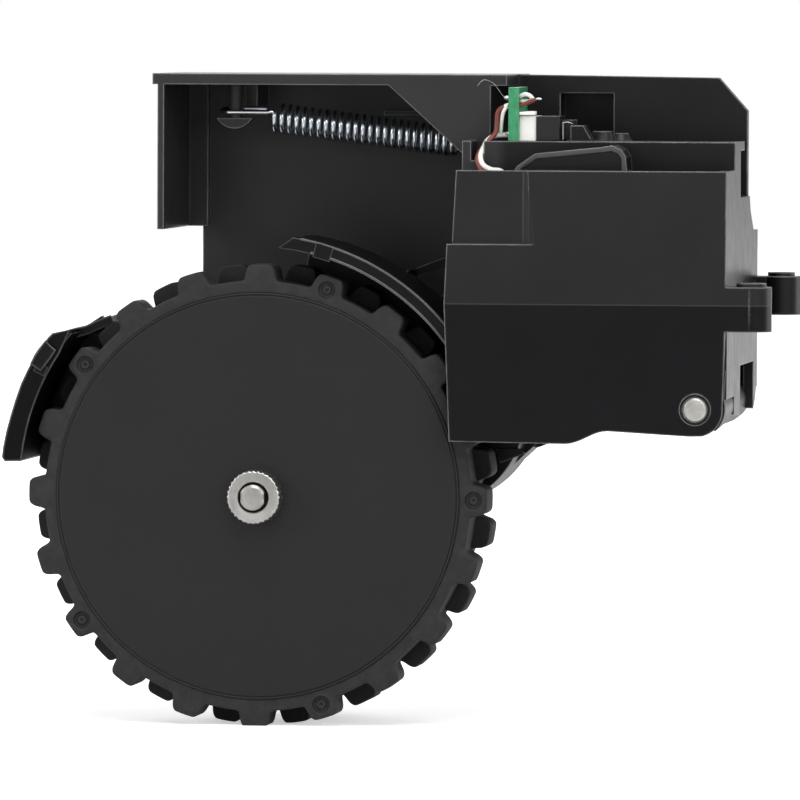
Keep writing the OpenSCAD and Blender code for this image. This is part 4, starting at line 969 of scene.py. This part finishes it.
def floor_material():
    """A pale floor that keeps the shadow near the part and turns white further out.

    It glows only for the camera and glass, and for gloss: dim in front of the part, bright far behind it.
    """
    m = Mat("floor")
    apart = m.node("ShaderNodeVectorMath", operation="DISTANCE")
    m.link(m.coord, apart.inputs[0])
    apart.inputs[1].default_value = (AIM.x, 0.02, FLOOR_Z)
    sweep = m.span(apart.outputs["Value"], 0.0, 1.0, 0.10, 0.42)
    path = m.node("ShaderNodeLightPath").outputs
    seen = m.calc("MAXIMUM", path["Is Camera Ray"], path["Is Transmission Ray"])
    in_gloss = m.calc("MULTIPLY", path["Is Glossy Ray"], m.span(m.axis("Y"), 0.3, 1.4, 0.2, 1.1))
    glow = m.calc("MULTIPLY", m.calc("MAXIMUM", seen, in_gloss), m.span(sweep, 0.5, 1.0))
    m.set(Base_Color=m.mix(sweep, (0.84, 0.84, 0.84), (0.5, 0.5, 0.5)), Roughness=0.9,
          Specular_IOR_Level=0.1, Emission_Color=(1.0, 1.0, 1.0), Emission_Strength=glow)
    return m.material


def make_floor():
    corners = [(-FLOOR_HALF, -FLOOR_HALF), (FLOOR_HALF, -FLOOR_HALF), (FLOOR_HALF, FLOOR_HALF),
               (-FLOOR_HALF, FLOOR_HALF)]
    mesh = bpy.data.meshes.new("floor")
    mesh.from_pydata([(x, y, FLOOR_Z) for x, y in corners], [], [(0, 1, 2, 3)])
    floor = bpy.data.objects.new("floor", mesh)
    bpy.context.scene.collection.objects.link(floor)
    floor.data.materials.append(floor_material())


def make_lamps():
    """Soft square lamps, all aimed at the middle of the view; the front ones leave no highlight."""
    for name, place, watts, width in LAMPS:
        data = bpy.data.lights.new(name, "AREA")
        data.energy = watts
        data.size = width
        lamp = bpy.data.objects.new(name, data)
        lamp.location = place
        lamp.rotation_euler = (AIM - Vector(place)).to_track_quat("-Z", "Y").to_euler()
        lamp.visible_camera = False
        lamp.visible_glossy = not name.startswith("front")
        bpy.context.scene.collection.objects.link(lamp)


def make_world():
    """White for the camera; for reflections a studio that is dim in front and bright above and behind."""
    world = bpy.data.worlds.new("world")
    bpy.context.scene.world = world
    world.use_nodes = True
    tree = world.node_tree
    tree.nodes.clear()

    def add(kind, **values):
        n = tree.nodes.new(kind)
        for key, value in values.items():
            setattr(n, key, value)
        return n

    def background(strength):
        n = add("ShaderNodeBackground")
        n.inputs["Color"].default_value = (1, 1, 1, 1)
        if isinstance(strength, float):
            n.inputs["Strength"].default_value = strength
        else:
            tree.links.new(strength, n.inputs["Strength"])
        return n.outputs[0]

    def span(value, low, high, from_low, from_high):
        n = add("ShaderNodeMapRange", interpolation_type="SMOOTHSTEP")
        ends = (("From Min", from_low), ("From Max", from_high), ("To Min", low), ("To Max", high))
        for key, number in ends:
            n.inputs[key].default_value = number
        tree.links.new(value, n.inputs["Value"])
        return n.outputs["Result"]

    def calc(operation, a, b):
        n = add("ShaderNodeMath", operation=operation)
        tree.links.new(a, n.inputs[0])
        tree.links.new(b, n.inputs[1])
        return n.outputs[0]

    def mixed(fac, a, b):
        n = add("ShaderNodeMixShader")
        for value, socket in zip((fac, a, b), n.inputs):
            tree.links.new(value, socket)
        return n.outputs[0]

    split = add("ShaderNodeSeparateXYZ")
    tree.links.new(add("ShaderNodeTexCoord").outputs["Generated"], split.inputs[0])
    front = span(split.outputs["Y"], 0.52, 0.55, -1.0, 0.2)
    above = span(split.outputs["Z"], 0.0, 0.35, 0.05, 0.6)
    paths = add("ShaderNodeLightPath").outputs
    lit = mixed(paths["Is Glossy Ray"], background(0.32), background(calc("ADD", front, above)))
    seen = calc("MAXIMUM", paths["Is Camera Ray"], paths["Is Transmission Ray"])
    tree.links.new(mixed(seen, lit, background(1.0)), add("ShaderNodeOutputWorld").inputs["Surface"])


make_floor()
make_world()
make_lamps()
bpy.context.scene.view_settings.view_transform = "Standard"
